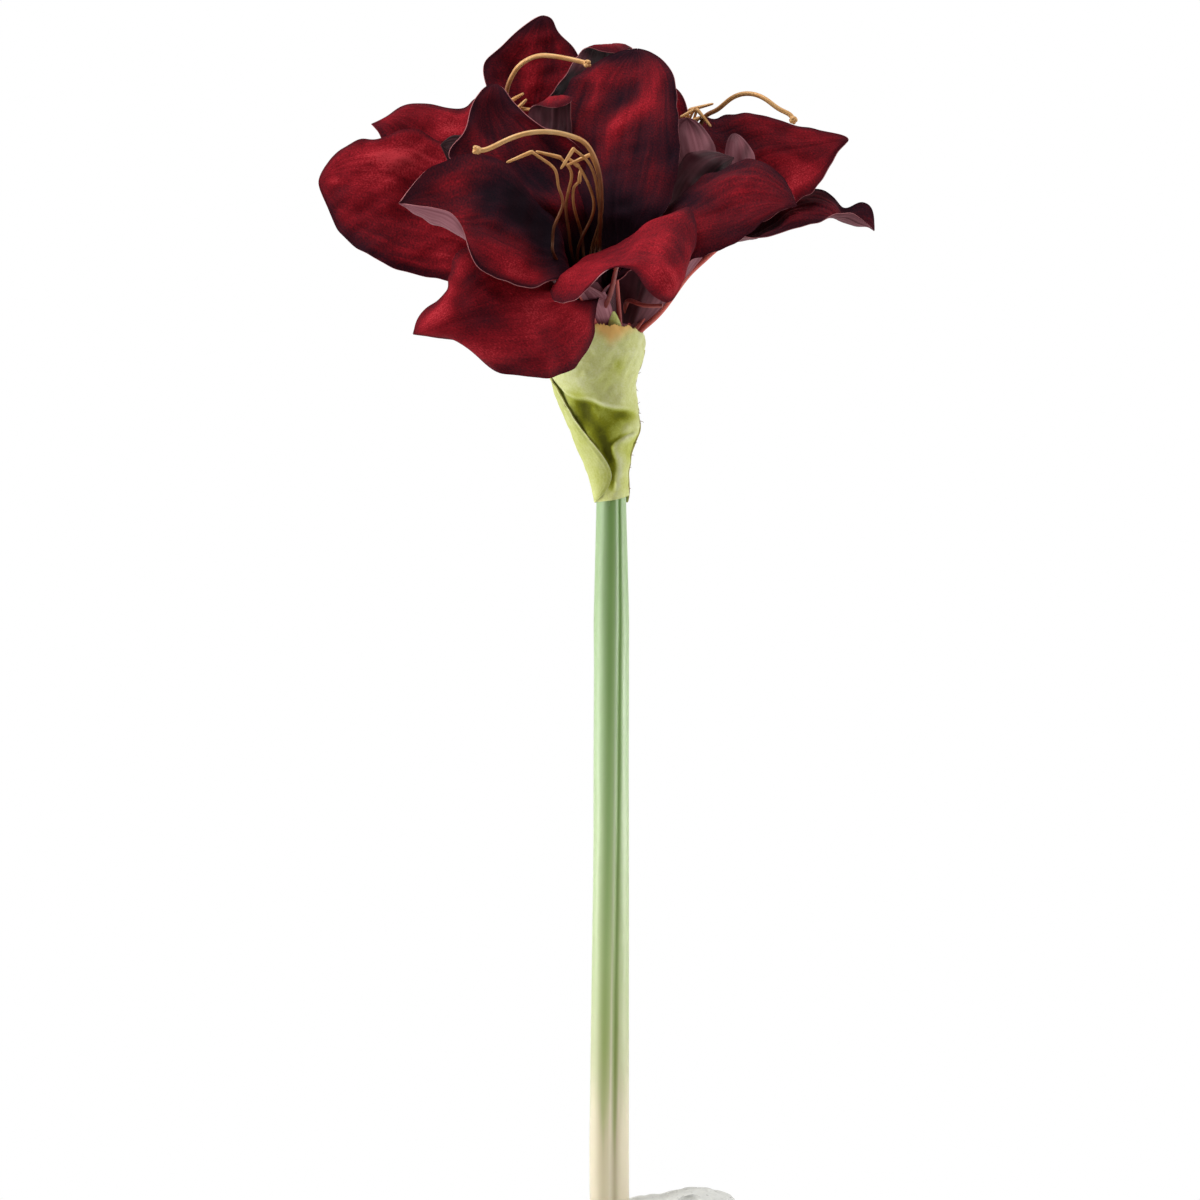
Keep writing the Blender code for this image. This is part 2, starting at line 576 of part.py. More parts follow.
def vase_ring(height, shrink, sides):
    """One ring of the vase's wall: a superellipse up its side, narrower at the foot."""
    share = height / VASE_HEIGHT
    if share < VASE_BELLY:
        swell = (1 - (0.8 * (VASE_BELLY - share) / VASE_BELLY) ** 2.4) ** (1 / 2.4)
    else:
        swell = (1 - ((share - VASE_BELLY) / (1 - VASE_BELLY)) ** 3.4) ** (1 / 3.4)
    turn = np.linspace(0, 2 * math.pi, sides, endpoint=False)
    x = (VASE_WIDTH / 2 * swell - shrink) * np.cos(turn) + VASE_CENTRE_X * share
    y = (VASE_DEPTH / 2 * swell - shrink) * np.sin(turn)
    return np.stack([x, y, height + vase_lift(x, share)], axis=-1)


def make_vase(stoneware):
    """Hollow pebble vase: flat foot, thick wall, a round hole for the scape and a blind pit."""
    sides = 34
    rings = [vase_ring(0.0, 3.0, sides)]
    for height in (5, 16, 34, 56, 80, 102, 120, 132, 139, 142.5):
        rings.append(vase_ring(height, 0.0, sides))
    turn = np.linspace(0, 2 * math.pi, sides, endpoint=False)
    circle = np.stack([np.cos(turn), np.sin(turn), 0 * turn], axis=-1)
    shoulder = rings[-1] * (1, 1, 0)
    dome = VASE_HEIGHT - 142.5
    for share in (0.3, 0.6, 0.9):
        ring = shoulder * (1 - share) + (HOLE_RADIUS + 1.0) * circle * share
        ring[:, 2] = VASE_HEIGHT - dome * (1 - share) ** 2 + vase_lift(ring[:, 0], 1.0)
        rings.append(ring)
    mouth = HOLE_RADIUS * circle
    mouth[:, 2] = VASE_HEIGHT - 1.0 + vase_lift(mouth[:, 0], 1.0)
    rings.append(mouth)
    rings.append(HOLE_RADIUS * circle + (0, 0, VASE_HEIGHT - 14))
    rings.append(vase_ring(131, VASE_WALL + 12.0, sides) * (1, 1, 0.98))
    for height in (124, 106, 82, 56, 34, 20):
        rings.append(vase_ring(height, VASE_WALL, sides))
    rings.append(vase_ring(20, VASE_WALL + 8.0, sides) * (1, 1, 0) + (0, 0, VASE_FLOOR))
    vase = rings_object("vase", (0, 0, 0), rings, (0, 0, VASE_FLOOR), stoneware)
    x, y = PIT_PLACE
    top = VASE_HEIGHT + float(vase_lift(x, 1.0))
    down = np.array((-0.12, 0.42, -1.0))
    start = np.array((x, y, top)) - unit(down) * 12.0
    pit = lathe_object("pit_cutter", start, down,
                       [(0, 0), (PIT_RADIUS, 0), (PIT_RADIUS, 12 + PIT_DEPTH - 1.5),
                        (PIT_RADIUS - 2, 12 + PIT_DEPTH), (0, 12 + PIT_DEPTH)], 14, stoneware)
    pit.hide_render = True
    pit.display_type = "WIRE"
    cut = vase.modifiers.new("Pit", "BOOLEAN")
    cut.operation = "DIFFERENCE"
    cut.object = pit
    cut.solver = "EXACT"
    settle_mesh(vase)
    bpy.data.objects.remove(pit)
    shade(vase)
    return vase


def main():
    """Clear the scene and build the vase, the scape, the bracts and the three blooms."""
    for thing in list(bpy.data.objects):
        bpy.data.objects.remove(thing)
    velvet = make_material("velvet_red", (0.26, 0.012, 0.018), 0.75)
    gold = make_material("gold_paint", (0.58, 0.33, 0.12), 0.4, 0.4)
    stem = make_material("stem_plastic", (0.42, 0.52, 0.30), 0.45)
    leaf = make_material("bract_fabric", (0.46, 0.52, 0.16), 0.8)
    stoneware = make_material("stoneware", (0.68, 0.68, 0.65), 0.85)
    stand = bpy.data.objects.new("amaryllis", None)
    bpy.context.scene.collection.objects.link(stand)
    pieces = [make_vase(stoneware), make_scape(stem), *make_bracts(leaf)]
    for bloom in BLOOMS:
        pieces.append(make_bloom(bloom, velvet))
        pieces.append(make_stamens(bloom, gold))
    for piece in pieces:
        piece.parent = stand


if __name__ == "__main__":
    main()
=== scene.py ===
"""Amaryllis with three open velvet blooms on one scape, standing in a pebble-shaped stoneware vase.

Sizes are millimetres all through and become metres as each mesh is made. +Z is up, the blooms face
-Y, and the origin is the centre of the vase's foot, on the axis of the hole that holds the scape.
"""

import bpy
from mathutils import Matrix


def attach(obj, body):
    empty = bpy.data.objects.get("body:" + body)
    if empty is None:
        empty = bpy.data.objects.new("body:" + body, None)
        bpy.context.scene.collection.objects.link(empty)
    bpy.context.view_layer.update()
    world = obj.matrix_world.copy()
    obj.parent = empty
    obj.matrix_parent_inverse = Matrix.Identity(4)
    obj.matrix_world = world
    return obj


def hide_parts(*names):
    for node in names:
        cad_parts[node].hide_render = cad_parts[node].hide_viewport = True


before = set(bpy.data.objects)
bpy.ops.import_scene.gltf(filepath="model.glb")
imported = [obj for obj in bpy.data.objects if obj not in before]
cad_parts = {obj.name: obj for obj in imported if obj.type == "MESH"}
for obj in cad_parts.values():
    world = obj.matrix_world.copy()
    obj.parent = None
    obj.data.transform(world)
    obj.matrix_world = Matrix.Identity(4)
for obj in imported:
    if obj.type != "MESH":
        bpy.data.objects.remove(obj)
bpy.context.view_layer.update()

import logging
import math
from dataclasses import dataclass, field
from enum import IntEnum

import bpy
import numpy as np
from mathutils import Vector

LOG = logging.getLogger("amaryllis")
Array = np.ndarray
Point = tuple[float, float, float]
Place = tuple[float, float]
Station = tuple[Point, Point, Point]
Patch = tuple[Array, int]
Socket = bpy.types.NodeSocket
Tree = bpy.types.NodeTree
Coat = tuple[Socket, Socket, dict]

MM = 0.001
METRE = 1000.0
BLADE_UNIT = 100.0             # the map "blade" counts in units of so many millimetres


# Shapes worked out with numpy


def unit(vectors: Array) -> Array:
    """Vectors, or rows of vectors, at length one."""
    vectors = np.asarray(vectors, float)
    return vectors / np.maximum(np.linalg.norm(vectors, axis=-1, keepdims=True), 1e-9)


def ease(value: Array, low: float, high: float) -> Array:
    """Soft step: 0 below low, 1 above high, and 3s² − 2s³ of the share s in between."""
    share = np.clip((np.asarray(value, float) - low) / (high - low), 0, 1)
    return share * share * (3 - 2 * share)


def hump(value: Array, middle: float, width: float) -> Array:
    """Bell curve: e to the minus of the squared distance from the middle over the width."""
    return np.exp(-((np.asarray(value, float) - middle) / width) ** 2)


def join(*parts: Array) -> Array:
    """Arrays of matching shapes as the last axis of one array, such as x, y and z."""
    return np.stack(np.broadcast_arrays(*parts), axis=-1)


def turns(sides: int) -> Array:
    """Angles of a ring's points, evenly round from 0."""
    return np.linspace(0, 2 * math.pi, sides, endpoint=False)


def circle(sides: int) -> Array:
    """Points of a circle of radius one round Z."""
    return join(np.cos(turns(sides)), np.sin(turns(sides)), 0.0)


def lengths(path: Array) -> Array:
    """Length along a path from its first point to each of its points."""
    return np.concatenate([[0], np.cumsum(np.linalg.norm(np.diff(path, axis=0), axis=1))])


def natural_curve(points: Array, places: Array) -> Array:
    """Natural cubic spline through points at whole-number places.

    The second differences solve the usual system of 1, 4, 1, and each place then mixes its two
    neighbours with the cubes of its distances to them.

    Args:
        points: Points in order, one to a row.
        places: Where to read the spline, from 0 to the number of points less one.

    Returns:
        One point for each place.
    """
    points = np.asarray(points, float)
    count = len(points)
    system = np.eye(count)
    inner = np.arange(1, count - 1)
    system[inner, inner - 1] = 1
    system[inner, inner] = 4
    system[inner, inner + 1] = 1
    right_side = np.zeros(points.shape)
    right_side[1:-1] = 6 * (points[2:] - 2 * points[1:-1] + points[:-2])
    bend = np.linalg.solve(system, right_side)
    places = np.asarray(places, float)
    i = np.clip(np.floor(places).astype(int), 0, count - 2)
    f = (places - i)[:, None]
    straight = (1 - f) * points[i] + f * points[i + 1]
    return straight + (((1 - f) ** 3 - (1 - f)) * bend[i] + (f ** 3 - f) * bend[i + 1]) / 6


def smooth(table: Array, count: int) -> Array:
    """A table's rows as a natural spline, read at a count of even places."""
    return natural_curve(table, np.linspace(0, len(table) - 1, count))


def wander(places: Array, wavelength: float, seed: int, waves: int = 24) -> Array:
    """Smooth random height with a spread of about one.

    It is the sum of sine waves in seeded random directions, each with a length near the given
    one, divided by the root of half their number.

    Args:
        places: Points of any number of dimensions, along the last axis.
        wavelength: Typical distance between two crests, in the places' own units.
        seed: Seed of the random directions, lengths and phases.
        waves: Number of sine waves.

    Returns:
        One height for each place.
    """
    draw = np.random.default_rng(seed)
    directions = unit(draw.normal(size=(waves, places.shape[-1])))
    spans = wavelength * draw.uniform(0.65, 1.5, waves)
    phases = draw.uniform(0, 2 * math.pi, waves)
    steps = places @ (directions * (2 * math.pi / spans)[:, None]).T
    return np.sin(steps + phases).sum(-1) / math.sqrt(waves / 2)


def crumpled(places: Array, seed: int, *layers: Place, waves: int = 24) -> Array:
    """Sum of smooth random heights.

    Args:
        places: Points of any number of dimensions, along the last axis.
        seed: Seed of the first layer, from which the others count up.
        layers: Height and wavelength of each layer.
        waves: Number of sine waves in each.

    Returns:
        One height for each place.
    """
    return sum(height * wander(places, wavelength, seed + number, waves)
               for number, (height, wavelength) in enumerate(layers))


def grid_normals(grid: Array) -> Array:
    """Unit normals of a grid of points: its slope along the rows crossed with that across them."""
    return unit(np.cross(np.gradient(grid, axis=0), np.gradient(grid, axis=1)))


def quads(rows: int, columns: int, closed: bool = False) -> Array:
    """Four corners of each cell of a grid, wound so that along crossed with across points out.

    Args:
        rows: Number of points along.
        columns: Number of points across.
        closed: Whether the last column joins the first.

    Returns:
        One row of four point numbers for each cell.
    """
    i, j = np.meshgrid(np.arange(rows - 1), np.arange(columns if closed else columns - 1),
                       indexing="ij")
    after = (j + 1) % columns
    return join(i * columns + j, (i + 1) * columns + j, (i + 1) * columns + after,
                i * columns + after).reshape(-1, 4)


def fan(pole: int, ring: Array, inward: bool = False) -> Array:
    """Triangles from a pole to each side of a closed ring.

    Args:
        pole: Number of the pole's point.
        ring: Numbers of the ring's points.
        inward: Whether the triangles face back down the rings.

    Returns:
        One row of three point numbers for each triangle.
    """
    after = np.roll(ring, -1)
    first, second = (after, ring) if inward else (ring, after)
    return join(pole, first, second)


def rim_of(rows: int, columns: int) -> Array:
    """Numbers of the points round a grid's border, in order.

    Args:
        rows: Number of points along.
        columns: Number of points across.

    Returns:
        The point numbers from the first corner all the way round.
    """
    top = np.arange(columns)
    right = np.arange(1, rows) * columns + columns - 1
    bottom = (rows - 1) * columns + np.arange(columns - 2, -1, -1)
    left = np.arange(rows - 2, 0, -1) * columns
    return np.concatenate([top, right, bottom, left])


def swept_rings(path: Array, radii: Array, sides: int, section: Array | None = None) -> Array:
    """Rings of points along a path, whose frame is carried on without twist.

    Each ring is the path's point plus the radius times a circle, or a given section of radii, in
    the plane across the path.

    Args:
        path: Points of the centre line.
        radii: Radius at each of them.
        sides: Points in each ring.
        section: Share of the radius at each side, or None for a circle.

    Returns:
        Points as rows × sides × 3.
    """
    heading = unit(np.gradient(path, axis=0))
    frames = [unit(np.cross(heading[0], (0.3, 1.0, 0.2)))]
    for ahead in heading[1:]:
        frames.append(unit(frames[-1] - (frames[-1] @ ahead) * ahead))
    across = np.array(frames)
    other = np.cross(heading, across)
    turn = turns(sides)[None, :, None]
    shape = 1.0 if section is None else section[None, :, None]
    ring = np.cos(turn) * across[:, None] + np.sin(turn) * other[:, None]
    return path[:, None] + np.asarray(radii, float)[:, None, None] * shape * ring


# Meshes


@dataclass
class Shell:
    """Points and faces gathered before one mesh is made of them."""

    points: list[Array] = field(default_factory=list)
    patches: list[Patch] = field(default_factory=list)
    blade: list[Array] = field(default_factory=list)
    tone: list[Array] = field(default_factory=list)
    blush: list[Array] = field(default_factory=list)
    count: int = 0

    def add(self, points: Array, patches: list[Patch], blade: Array | None = None,
            tone: Array | float = 0.5, blush: Array | float = 0.0) -> None:
        """Put one closed body into the shell.

        Args:
            points: Its points, one to a row.
            patches: Its faces with their finishes' slots, numbered from its own first point.
            blade: Place of each point across and along it, in blade units.
            tone: How light each point's finish is, from 0 to 1.
            blush: How much of its second colour each point shows, from 0 to 1.
        """
        self.patches += [(faces + self.count, slot) for faces, slot in patches]
        self.points.append(points)
        self.blade.append(np.zeros((len(points), 2)) if blade is None else blade)
        self.tone.append(np.broadcast_to(tone, len(points)))
        self.blush.append(np.broadcast_to(blush, len(points)))
        self.count += len(points)

    def add_tube(self, path: Array, radii: Array | float, sides: int, slot: int = 0,
                 tone: Array | float = 0.5, section: Array | None = None) -> None:
        """Sweep a closed tube along a path; its ends are poles at the first and last point.

        Args:
            path: Points of the centre line.
            radii: Radius at each of them, or one for all.
            sides: Sides of the tube.
            slot: Slot of its finish.
            tone: How light it is, one value for each point of the path or one for all.
            section: Share of the radius at each side, or None for a circle.
        """
        path = np.asarray(path, float)
        rings = swept_rings(path, np.broadcast_to(radii, len(path)), sides, section)
        self.add_rings(path[0], rings, path[-1], slot, tone)

    def add_rings(self, first: Array, rings: Array, last: Array, slot: Array | int = 0,
                  tone: Array | float = 0.5) -> None:
        """Close rings of equal length with a pole at either end.

        Args:
            first: Pole below the first ring.
            rings: Points as rows × sides × 3.
            last: Pole above the last ring.
            slot: Slot of the finish, one for each ring or one for all.
            tone: How light it is, at each point, or one value for each ring, or one for all.
        """
        rows, sides = rings.shape[:2]
        body = np.arange(rows * sides).reshape(rows, sides)
        points = np.concatenate([rings.reshape(-1, 3), [first], [last]])
        slot = np.broadcast_to(slot, rows)
        cells = quads(rows, sides, True)[:, ::-1].reshape(rows - 1, sides, 4)
        patches = [(cells[slot[:-1] == s].reshape(-1, 4), int(s)) for s in np.unique(slot)]
        patches += [(fan(rows * sides, body[0], True), int(slot[0])),
                    (fan(rows * sides + 1, body[-1]), int(slot[-1]))]
        length = lengths(rings.mean(1))
        girth = np.linalg.norm(np.diff(rings, axis=1), axis=2).sum(1).max()
        blade = join(np.linspace(0, girth, sides)[None], length[:, None]).reshape(-1, 2)
        blade = np.concatenate([blade, [(0, 0)], [(0, length[-1])]]) / BLADE_UNIT
        light = np.broadcast_to(tone if np.ndim(tone) == 2 else np.reshape(tone, (-1, 1)),
                                (rows, sides))
        light = np.concatenate([light.ravel(), light[[0, -1], 0]])
        self.add(points, patches, blade, light)

    def add_sheet(self, grid: Array, outward: Array, thickness: Array | float, blade: Array,
                  tones: tuple[Array, Array], slots: tuple[int, int, int],
                  blush: Array | float = 0.0) -> None:
        """Closed blade round a grid: an inner face, an outer face and the cut edge between them.

        The faces stand half a thickness to either side of the grid along its normals.

        Args:
            grid: Points as rows × columns × 3, whose along crossed with across points outwards.
            outward: Normals on the outer side.
            thickness: Thickness at each point, or one for all.
            blade: Place of each point across and along the blade, in blade units.
            tones: How light the inner and the outer face are at each point.
            slots: Slots of the inner face, the outer face and the cut edge.
            blush: How much of the second colour both faces show at each point.
        """
        rows, columns = grid.shape[:2]
        half = outward * (np.broadcast_to(thickness, (rows, columns))[..., None] / 2)
        under = rows * columns
        cells = quads(rows, columns)
        rim = rim_of(rows, columns)
        after = np.roll(rim, -1)
        points = np.concatenate([(grid - half).reshape(-1, 3), (grid + half).reshape(-1, 3)])
        light = np.concatenate([np.broadcast_to(tone, (rows, columns)).ravel() for tone in tones])
        pink = np.tile(np.broadcast_to(blush, (rows, columns)).ravel(), 2)
        self.add(points, [(cells[:, ::-1], slots[0]), (cells + under, slots[1]),
                          (join(rim, after, after + under, rim + under), slots[2])],
                 np.tile(blade.reshape(-1, 2), (2, 1)), light, pink)

    def make(self, name: str, finishes: list["Finish"], crease: float = 50.0
             ) -> bpy.types.Object:
        """Turn the shell into one object at the origin.

        Args:
            name: The piece's name.
            finishes: Finishes in the order of the slots.
            crease: Angle in degrees from which an edge stays sharp.

        Returns:
            The new object, smooth shaded, with the map "blade", the tone and the blush.
        """
        points = np.concatenate(self.points) * MM
        corners = np.concatenate([faces.ravel() for faces, _ in self.patches])
        totals = np.concatenate([np.full(len(faces), faces.shape[1]) for faces, _ in self.patches])
        slots = np.concatenate([np.full(len(faces), slot) for faces, slot in self.patches])
        mesh = bpy.data.meshes.new(name)
        mesh.vertices.add(len(points))
        mesh.vertices.foreach_set("co", points.astype(np.float32).ravel())
        mesh.loops.add(len(corners))
        mesh.loops.foreach_set("vertex_index", corners.astype(np.int32))
        mesh.polygons.add(len(totals))
        mesh.polygons.foreach_set("loop_start", (np.cumsum(totals) - totals).astype(np.int32))
        mesh.polygons.foreach_set("material_index", slots.astype(np.int32))
        mesh.update(calc_edges=True)
        mesh.uv_layers.new(name="blade").data.foreach_set(
            "uv", np.concatenate(self.blade)[corners].astype(np.float32).ravel())
        for key, values in (("tone", self.tone), ("blush", self.blush)):
            mesh.attributes.new(key, "FLOAT", "POINT").data.foreach_set(
                "value", np.concatenate(values).astype(np.float32))
        for finish in finishes:
            mesh.materials.append(finish.material())
        mesh.shade_smooth()
        mesh.set_sharp_from_angle(angle=math.radians(crease))
        return put_in_scene(bpy.data.objects.new(name, mesh))


def put_in_scene(thing: bpy.types.Object) -> bpy.types.Object:
    """Link a new object to the scene and hand it on."""
    bpy.context.scene.collection.objects.link(thing)
    return thing


def dress(piece: bpy.types.Object, node: str) -> None:
    """Let a piece ride on the flower's one body and stand for a CAD node.

    Args:
        piece: The finished piece.
        node: The CAD node that the piece stands for.
    """
    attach(piece, "root")
    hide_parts(node)
    LOG.info("%s: %d faces", piece.name, len(piece.data.polygons))


# Finishes


def linear(code: str) -> tuple[float, float, float, float]:
    """sRGB hex colour as linear light, by the sRGB curve.

    Args:
        code: The colour as six hex digits after a "#".

    Returns:
        Red, green, blue and a full alpha.
    """
    parts = [int(code[k:k + 2], 16) / 255 for k in (1, 3, 5)]
    red, green, blue = (p / 12.92 if p <= 0.04045 else ((p + 0.055) / 1.055) ** 2.4
                        for p in parts)
    return red, green, blue, 1.0


def feed(node: bpy.types.Node, values: dict) -> None:
    """Give a node's inputs their values.

    Args:
        node: A shader node.
        values: Values or output sockets for its inputs, by name or number.
    """
    for key, value in values.items():
        if isinstance(value, Socket):
            node.id_data.links.new(value, node.inputs[key])
        else:
            node.inputs[key].default_value = value


def add_node(tree: Tree, kind: str, values: dict | None = None, out: str | int = 0,
             **settings: object) -> Socket:
    """Add a shader node with its settings and links.

    Args:
        tree: The material's node tree.
        kind: The node's type without "ShaderNode".
        values: Values or output sockets for its inputs, by name or number.
        out: Name or number of the output that is wanted.
        settings: Its own properties; "stops" fills a colour ramp with places and hex colours.

    Returns:
        That output of the new node.
    """
    node = tree.nodes.new("ShaderNode" + kind)
    stops = settings.pop("stops", None)
    for key, value in settings.items():
        setattr(node, key, value)
    if stops:
        ramp = node.color_ramp.elements
        while len(ramp) < len(stops):
            ramp.new(1.0)
        for element, (spot, code) in zip(ramp, stops):
            element.position = spot
            element.color = linear(code)
    feed(node, values or {})
    return node.outputs[out]


def add_up(tree: Tree, total: Socket | float, *terms: tuple[Socket, Socket | float]) -> Socket:
    """A total plus each socket times its share.

    Args:
        tree: The material's node tree.
        total: Where the sum starts.
        terms: Sockets with their shares.

    Returns:
        The sum.
    """
    for socket, share in terms:
        total = add_node(tree, "Math", {0: socket, 1: share, 2: total}, operation="MULTIPLY_ADD")
    return total


def weave(tree: Tree, blade: Socket, thread: float) -> Socket:
    """Checks of a plain weave: the sine along the warp times the sine along the weft.

    Args:
        tree: The material's node tree.
        blade: The map "blade".
        thread: Distance between two threads.

    Returns:
        The height of the cloth, from -1 to 1.
    """
    fine = add_node(tree, "Mapping", {"Vector": blade,
                                      "Scale": (BLADE_UNIT * 2 * math.pi / thread,) * 3})
    warp = add_node(tree, "SeparateXYZ", {"Vector": fine})
    weft = warp.node.outputs["Y"]
    warp, weft = (add_node(tree, "Math", {0: way}, operation="SINE") for way in (warp, weft))
    return add_node(tree, "Math", {0: warp, 1: weft}, operation="MULTIPLY")


@dataclass(frozen=True)
class Finish:
    """A material that is made once and then shared, by its name."""

    name: str
    bump: float                # strength of its relief
    relief: float              # height of its relief

    def coat(self, tree: Tree) -> Coat:
        """The finish's colour, its relief and the shader's other inputs."""
        raise NotImplementedError

    def material(self) -> bpy.types.Material:
        """The finish's material, made on first use.

        Returns:
            The material, with the coat's colour and relief on its Principled shader.
        """
        made = bpy.data.materials.get(self.name)
        if made is None:
            made = bpy.data.materials.new(self.name)
            made.use_nodes = True
            tree = made.node_tree
            colour, height, others = self.coat(tree)
            normal = add_node(tree, "Bump", {"Height": height, "Strength": self.bump,
                                             "Distance": self.relief * MM})
            feed(tree.nodes["Principled BSDF"], {"Base Color": colour, "Normal": normal, **others})
        return made


@dataclass(frozen=True)
class PressedVelvet(Finish):
    """Polyester velvet, airbrushed and heat-pressed: its tone runs from maroon black to deep
    crimson, partly dyed colour and partly painted highlights and painted shade, with faint veins
    and a fine pile."""

    name: str = "pressed_polyester_velvet"
    bump: float = 0.5
    relief: float = 0.4
    stops: tuple = ((0.0, "#140C15"), (0.14, "#260F1A"), (0.32, "#45121C"), (0.5, "#67141E"),
                    (0.68, "#8A1823"), (0.86, "#A81F2B"), (1.0, "#C2363F"))
    # width, length, detail and share of the streaks, the blotches and the grain of the pile,
    # drawn coarser than the 0.2 mm pile so that they show
    layers: tuple = ((1.6, 9.0, 4.0, 0.13), (9.0, 9.0, 7.0, 0.42), (1.0, 1.0, 4.0, 1.6))
    depth: float = 0.8         # how much more the layers show where the tone is light
    least_depth: float = 0.26
    roughness: float = 0.8
    sheen: float = 0.22
    sheen_tint: str = "#9C2230"

    def coat(self, tree: Tree) -> Coat:
        """Tone of the dyed colour and of painted highlights and painted shade, plus streaks,
        blotches and grain, through one ramp from black to red.

        Args:
            tree: The material's node tree.

        Returns:
            Its colour, its relief and the shader's other inputs.
        """
        tone = add_node(tree, "Attribute", out="Fac", attribute_name="tone")
        blade = add_node(tree, "UVMap", uv_map="blade")
        noises = []
        for across, along, detail, _ in self.layers:
            drawn = add_node(tree, "Mapping", {"Vector": blade, "Scale": (
                BLADE_UNIT / across, BLADE_UNIT / along, 1)})
            noises.append(add_node(tree, "TexNoise", {"Vector": drawn, "Scale": 1.0,
                                                      "Detail": detail, "Roughness": 0.68}))
        shares = [share for *_, share in self.layers]
        level = add_up(tree, -0.5 * sum(shares), *zip(noises, shares))
        depth = add_up(tree, self.least_depth, (tone, self.depth))
        centred = add_up(tree, tone, (level, depth))
        colour = add_node(tree, "ValToRGB", {"Fac": centred}, stops=self.stops)
        return colour, add_up(tree, noises[2], (noises[0], 1.0)), {
            "Roughness": self.roughness, "Specular IOR Level": 0.06, "Sheen Weight": self.sheen,
            "Sheen Roughness": 0.4, "Sheen Tint": linear(self.sheen_tint)}


@dataclass(frozen=True)
class WovenSatin(Finish):
    """Backing cloth of the petals: dyed polyester satin, woven, with a dull mauve shine."""

    name: str = "dyed_satin_weave"
    bump: float = 0.35
    relief: float = 0.4
    stops: tuple = ((0.0, "#12070A"), (0.25, "#2E1319"), (0.5, "#5A2B34"), (0.75, "#875059"),
                    (1.0, "#B57A84"))
    thread: float = 0.55       # drawn coarser than the 0.15 mm threads
    vein: float = 2.2
    vein_length: float = 40.0
    roughness: float = 0.5
    sheen_tint: str = "#C9A0AC"

    def coat(self, tree: Tree) -> Coat:
        """Long veins and a crossing weave over the tone, which holds dyed colour and painted shade.

        Args:
            tree: The material's node tree.

        Returns:
            Its colour, its relief and the shader's other inputs.
        """
        tone = add_node(tree, "Attribute", out="Fac", attribute_name="tone")
        blade = add_node(tree, "UVMap", uv_map="blade")
        drawn = add_node(tree, "Mapping", {"Vector": blade, "Scale": (
            BLADE_UNIT / self.vein, BLADE_UNIT / self.vein_length, 1)})
        veins = add_node(tree, "TexNoise", {"Vector": drawn, "Scale": 1.0, "Detail": 3.0,
                                            "Roughness": 0.6})
        cloth = weave(tree, blade, self.thread)
        level = add_up(tree, -0.11, (tone, 1.0), (veins, 0.22), (cloth, 0.05))
        colour = add_node(tree, "ValToRGB", {"Fac": level}, stops=self.stops)
        return colour, add_up(tree, veins, (cloth, 0.12)), {
            "Roughness": self.roughness, "Specular IOR Level": 0.16, "Sheen Weight": 0.12,
            "Sheen Roughness": 0.4, "Sheen Tint": linear(self.sheen_tint)}


@dataclass(frozen=True)
class PlainTone(Finish):
    """A finish of one ramp over the tone and a fine noise, for small trims: melted cloth at a
    hot-cut edge, paled as a painted highlight along the rim, paint on a rib wire, frayed cotton."""

    name: str = "hot_cut_cloth_edge_with_painted_highlight"
    bump: float = 0.4
    relief: float = 0.2
    # the cut edge's pale pink is partly melted cloth and partly a painted highlight along the rim
    dark: str = "#7A3038"
    light: str = "#D68C8E"
    grain: float = 2.0
    roughness: float = 0.7
    shine: float = 0.3

    def coat(self, tree: Tree) -> Coat:
        """Noise at the finish's grain moves the tone between dark and light.

        Args:
            tree: The material's node tree.

        Returns:
            Its colour, its relief and the shader's other inputs.
        """
        tone = add_node(tree, "Attribute", out="Fac", attribute_name="tone")
        here = add_node(tree, "TexCoord", out="Object")
        grain = add_node(tree, "TexNoise", {"Vector": here, "Scale": METRE / self.grain,
                                            "Detail": 3.0, "Roughness": 0.6})
        level = add_up(tree, -0.3, (tone, 1.0), (grain, 0.6))
        colour = add_node(tree, "ValToRGB", {"Fac": level},
                          stops=((0.0, self.dark), (1.0, self.light)))
        return colour, grain, {"Roughness": self.roughness, "Specular IOR Level": self.shine}


@dataclass(frozen=True)
class GoldPaint(Finish):
    """Gold lacquer sprayed on moulded polythene: warm, half metallic, browner deep in the bloom
    as painted shade.
    """

    name: str = "sprayed_gold_lacquer"
    bump: float = 0.2
    relief: float = 0.15
    # the ramp's dark brown end is painted shade, which the tone reaches deep in the throat
    stops: tuple = ((0.0, "#33190C"), (0.3, "#8F552B"), (0.62, "#D49B5B"), (1.0, "#F8D49C"))
    flake: float = 0.7
    patch: float = 6.0
    metallic: float = 0.25

    def coat(self, tree: Tree) -> Coat:
        """Paint mottled at the size of its flakes, rougher where it lies thin.

        Args:
            tree: The material's node tree.

        Returns:
            Its colour, its relief and the shader's other inputs.
        """
        tone = add_node(tree, "Attribute", out="Fac", attribute_name="tone")
        here = add_node(tree, "TexCoord", out="Object")
        flakes = add_node(tree, "TexNoise", {"Vector": here, "Scale": METRE / self.flake,
                                             "Detail": 3.0, "Roughness": 0.6})
        patches = add_node(tree, "TexNoise", {"Vector": here, "Scale": METRE / self.patch,
                                              "Detail": 2.0, "Roughness": 0.5})
        level = add_up(tree, -0.25, (tone, 1.0), (patches, 0.35), (flakes, 0.15))
        rough = add_node(tree, "MapRange", {"Value": flakes, "To Min": 0.36, "To Max": 0.56})
        colour = add_node(tree, "ValToRGB", {"Fac": level}, stops=self.stops)
        return colour, flakes, {"Roughness": rough, "Metallic": self.metallic}


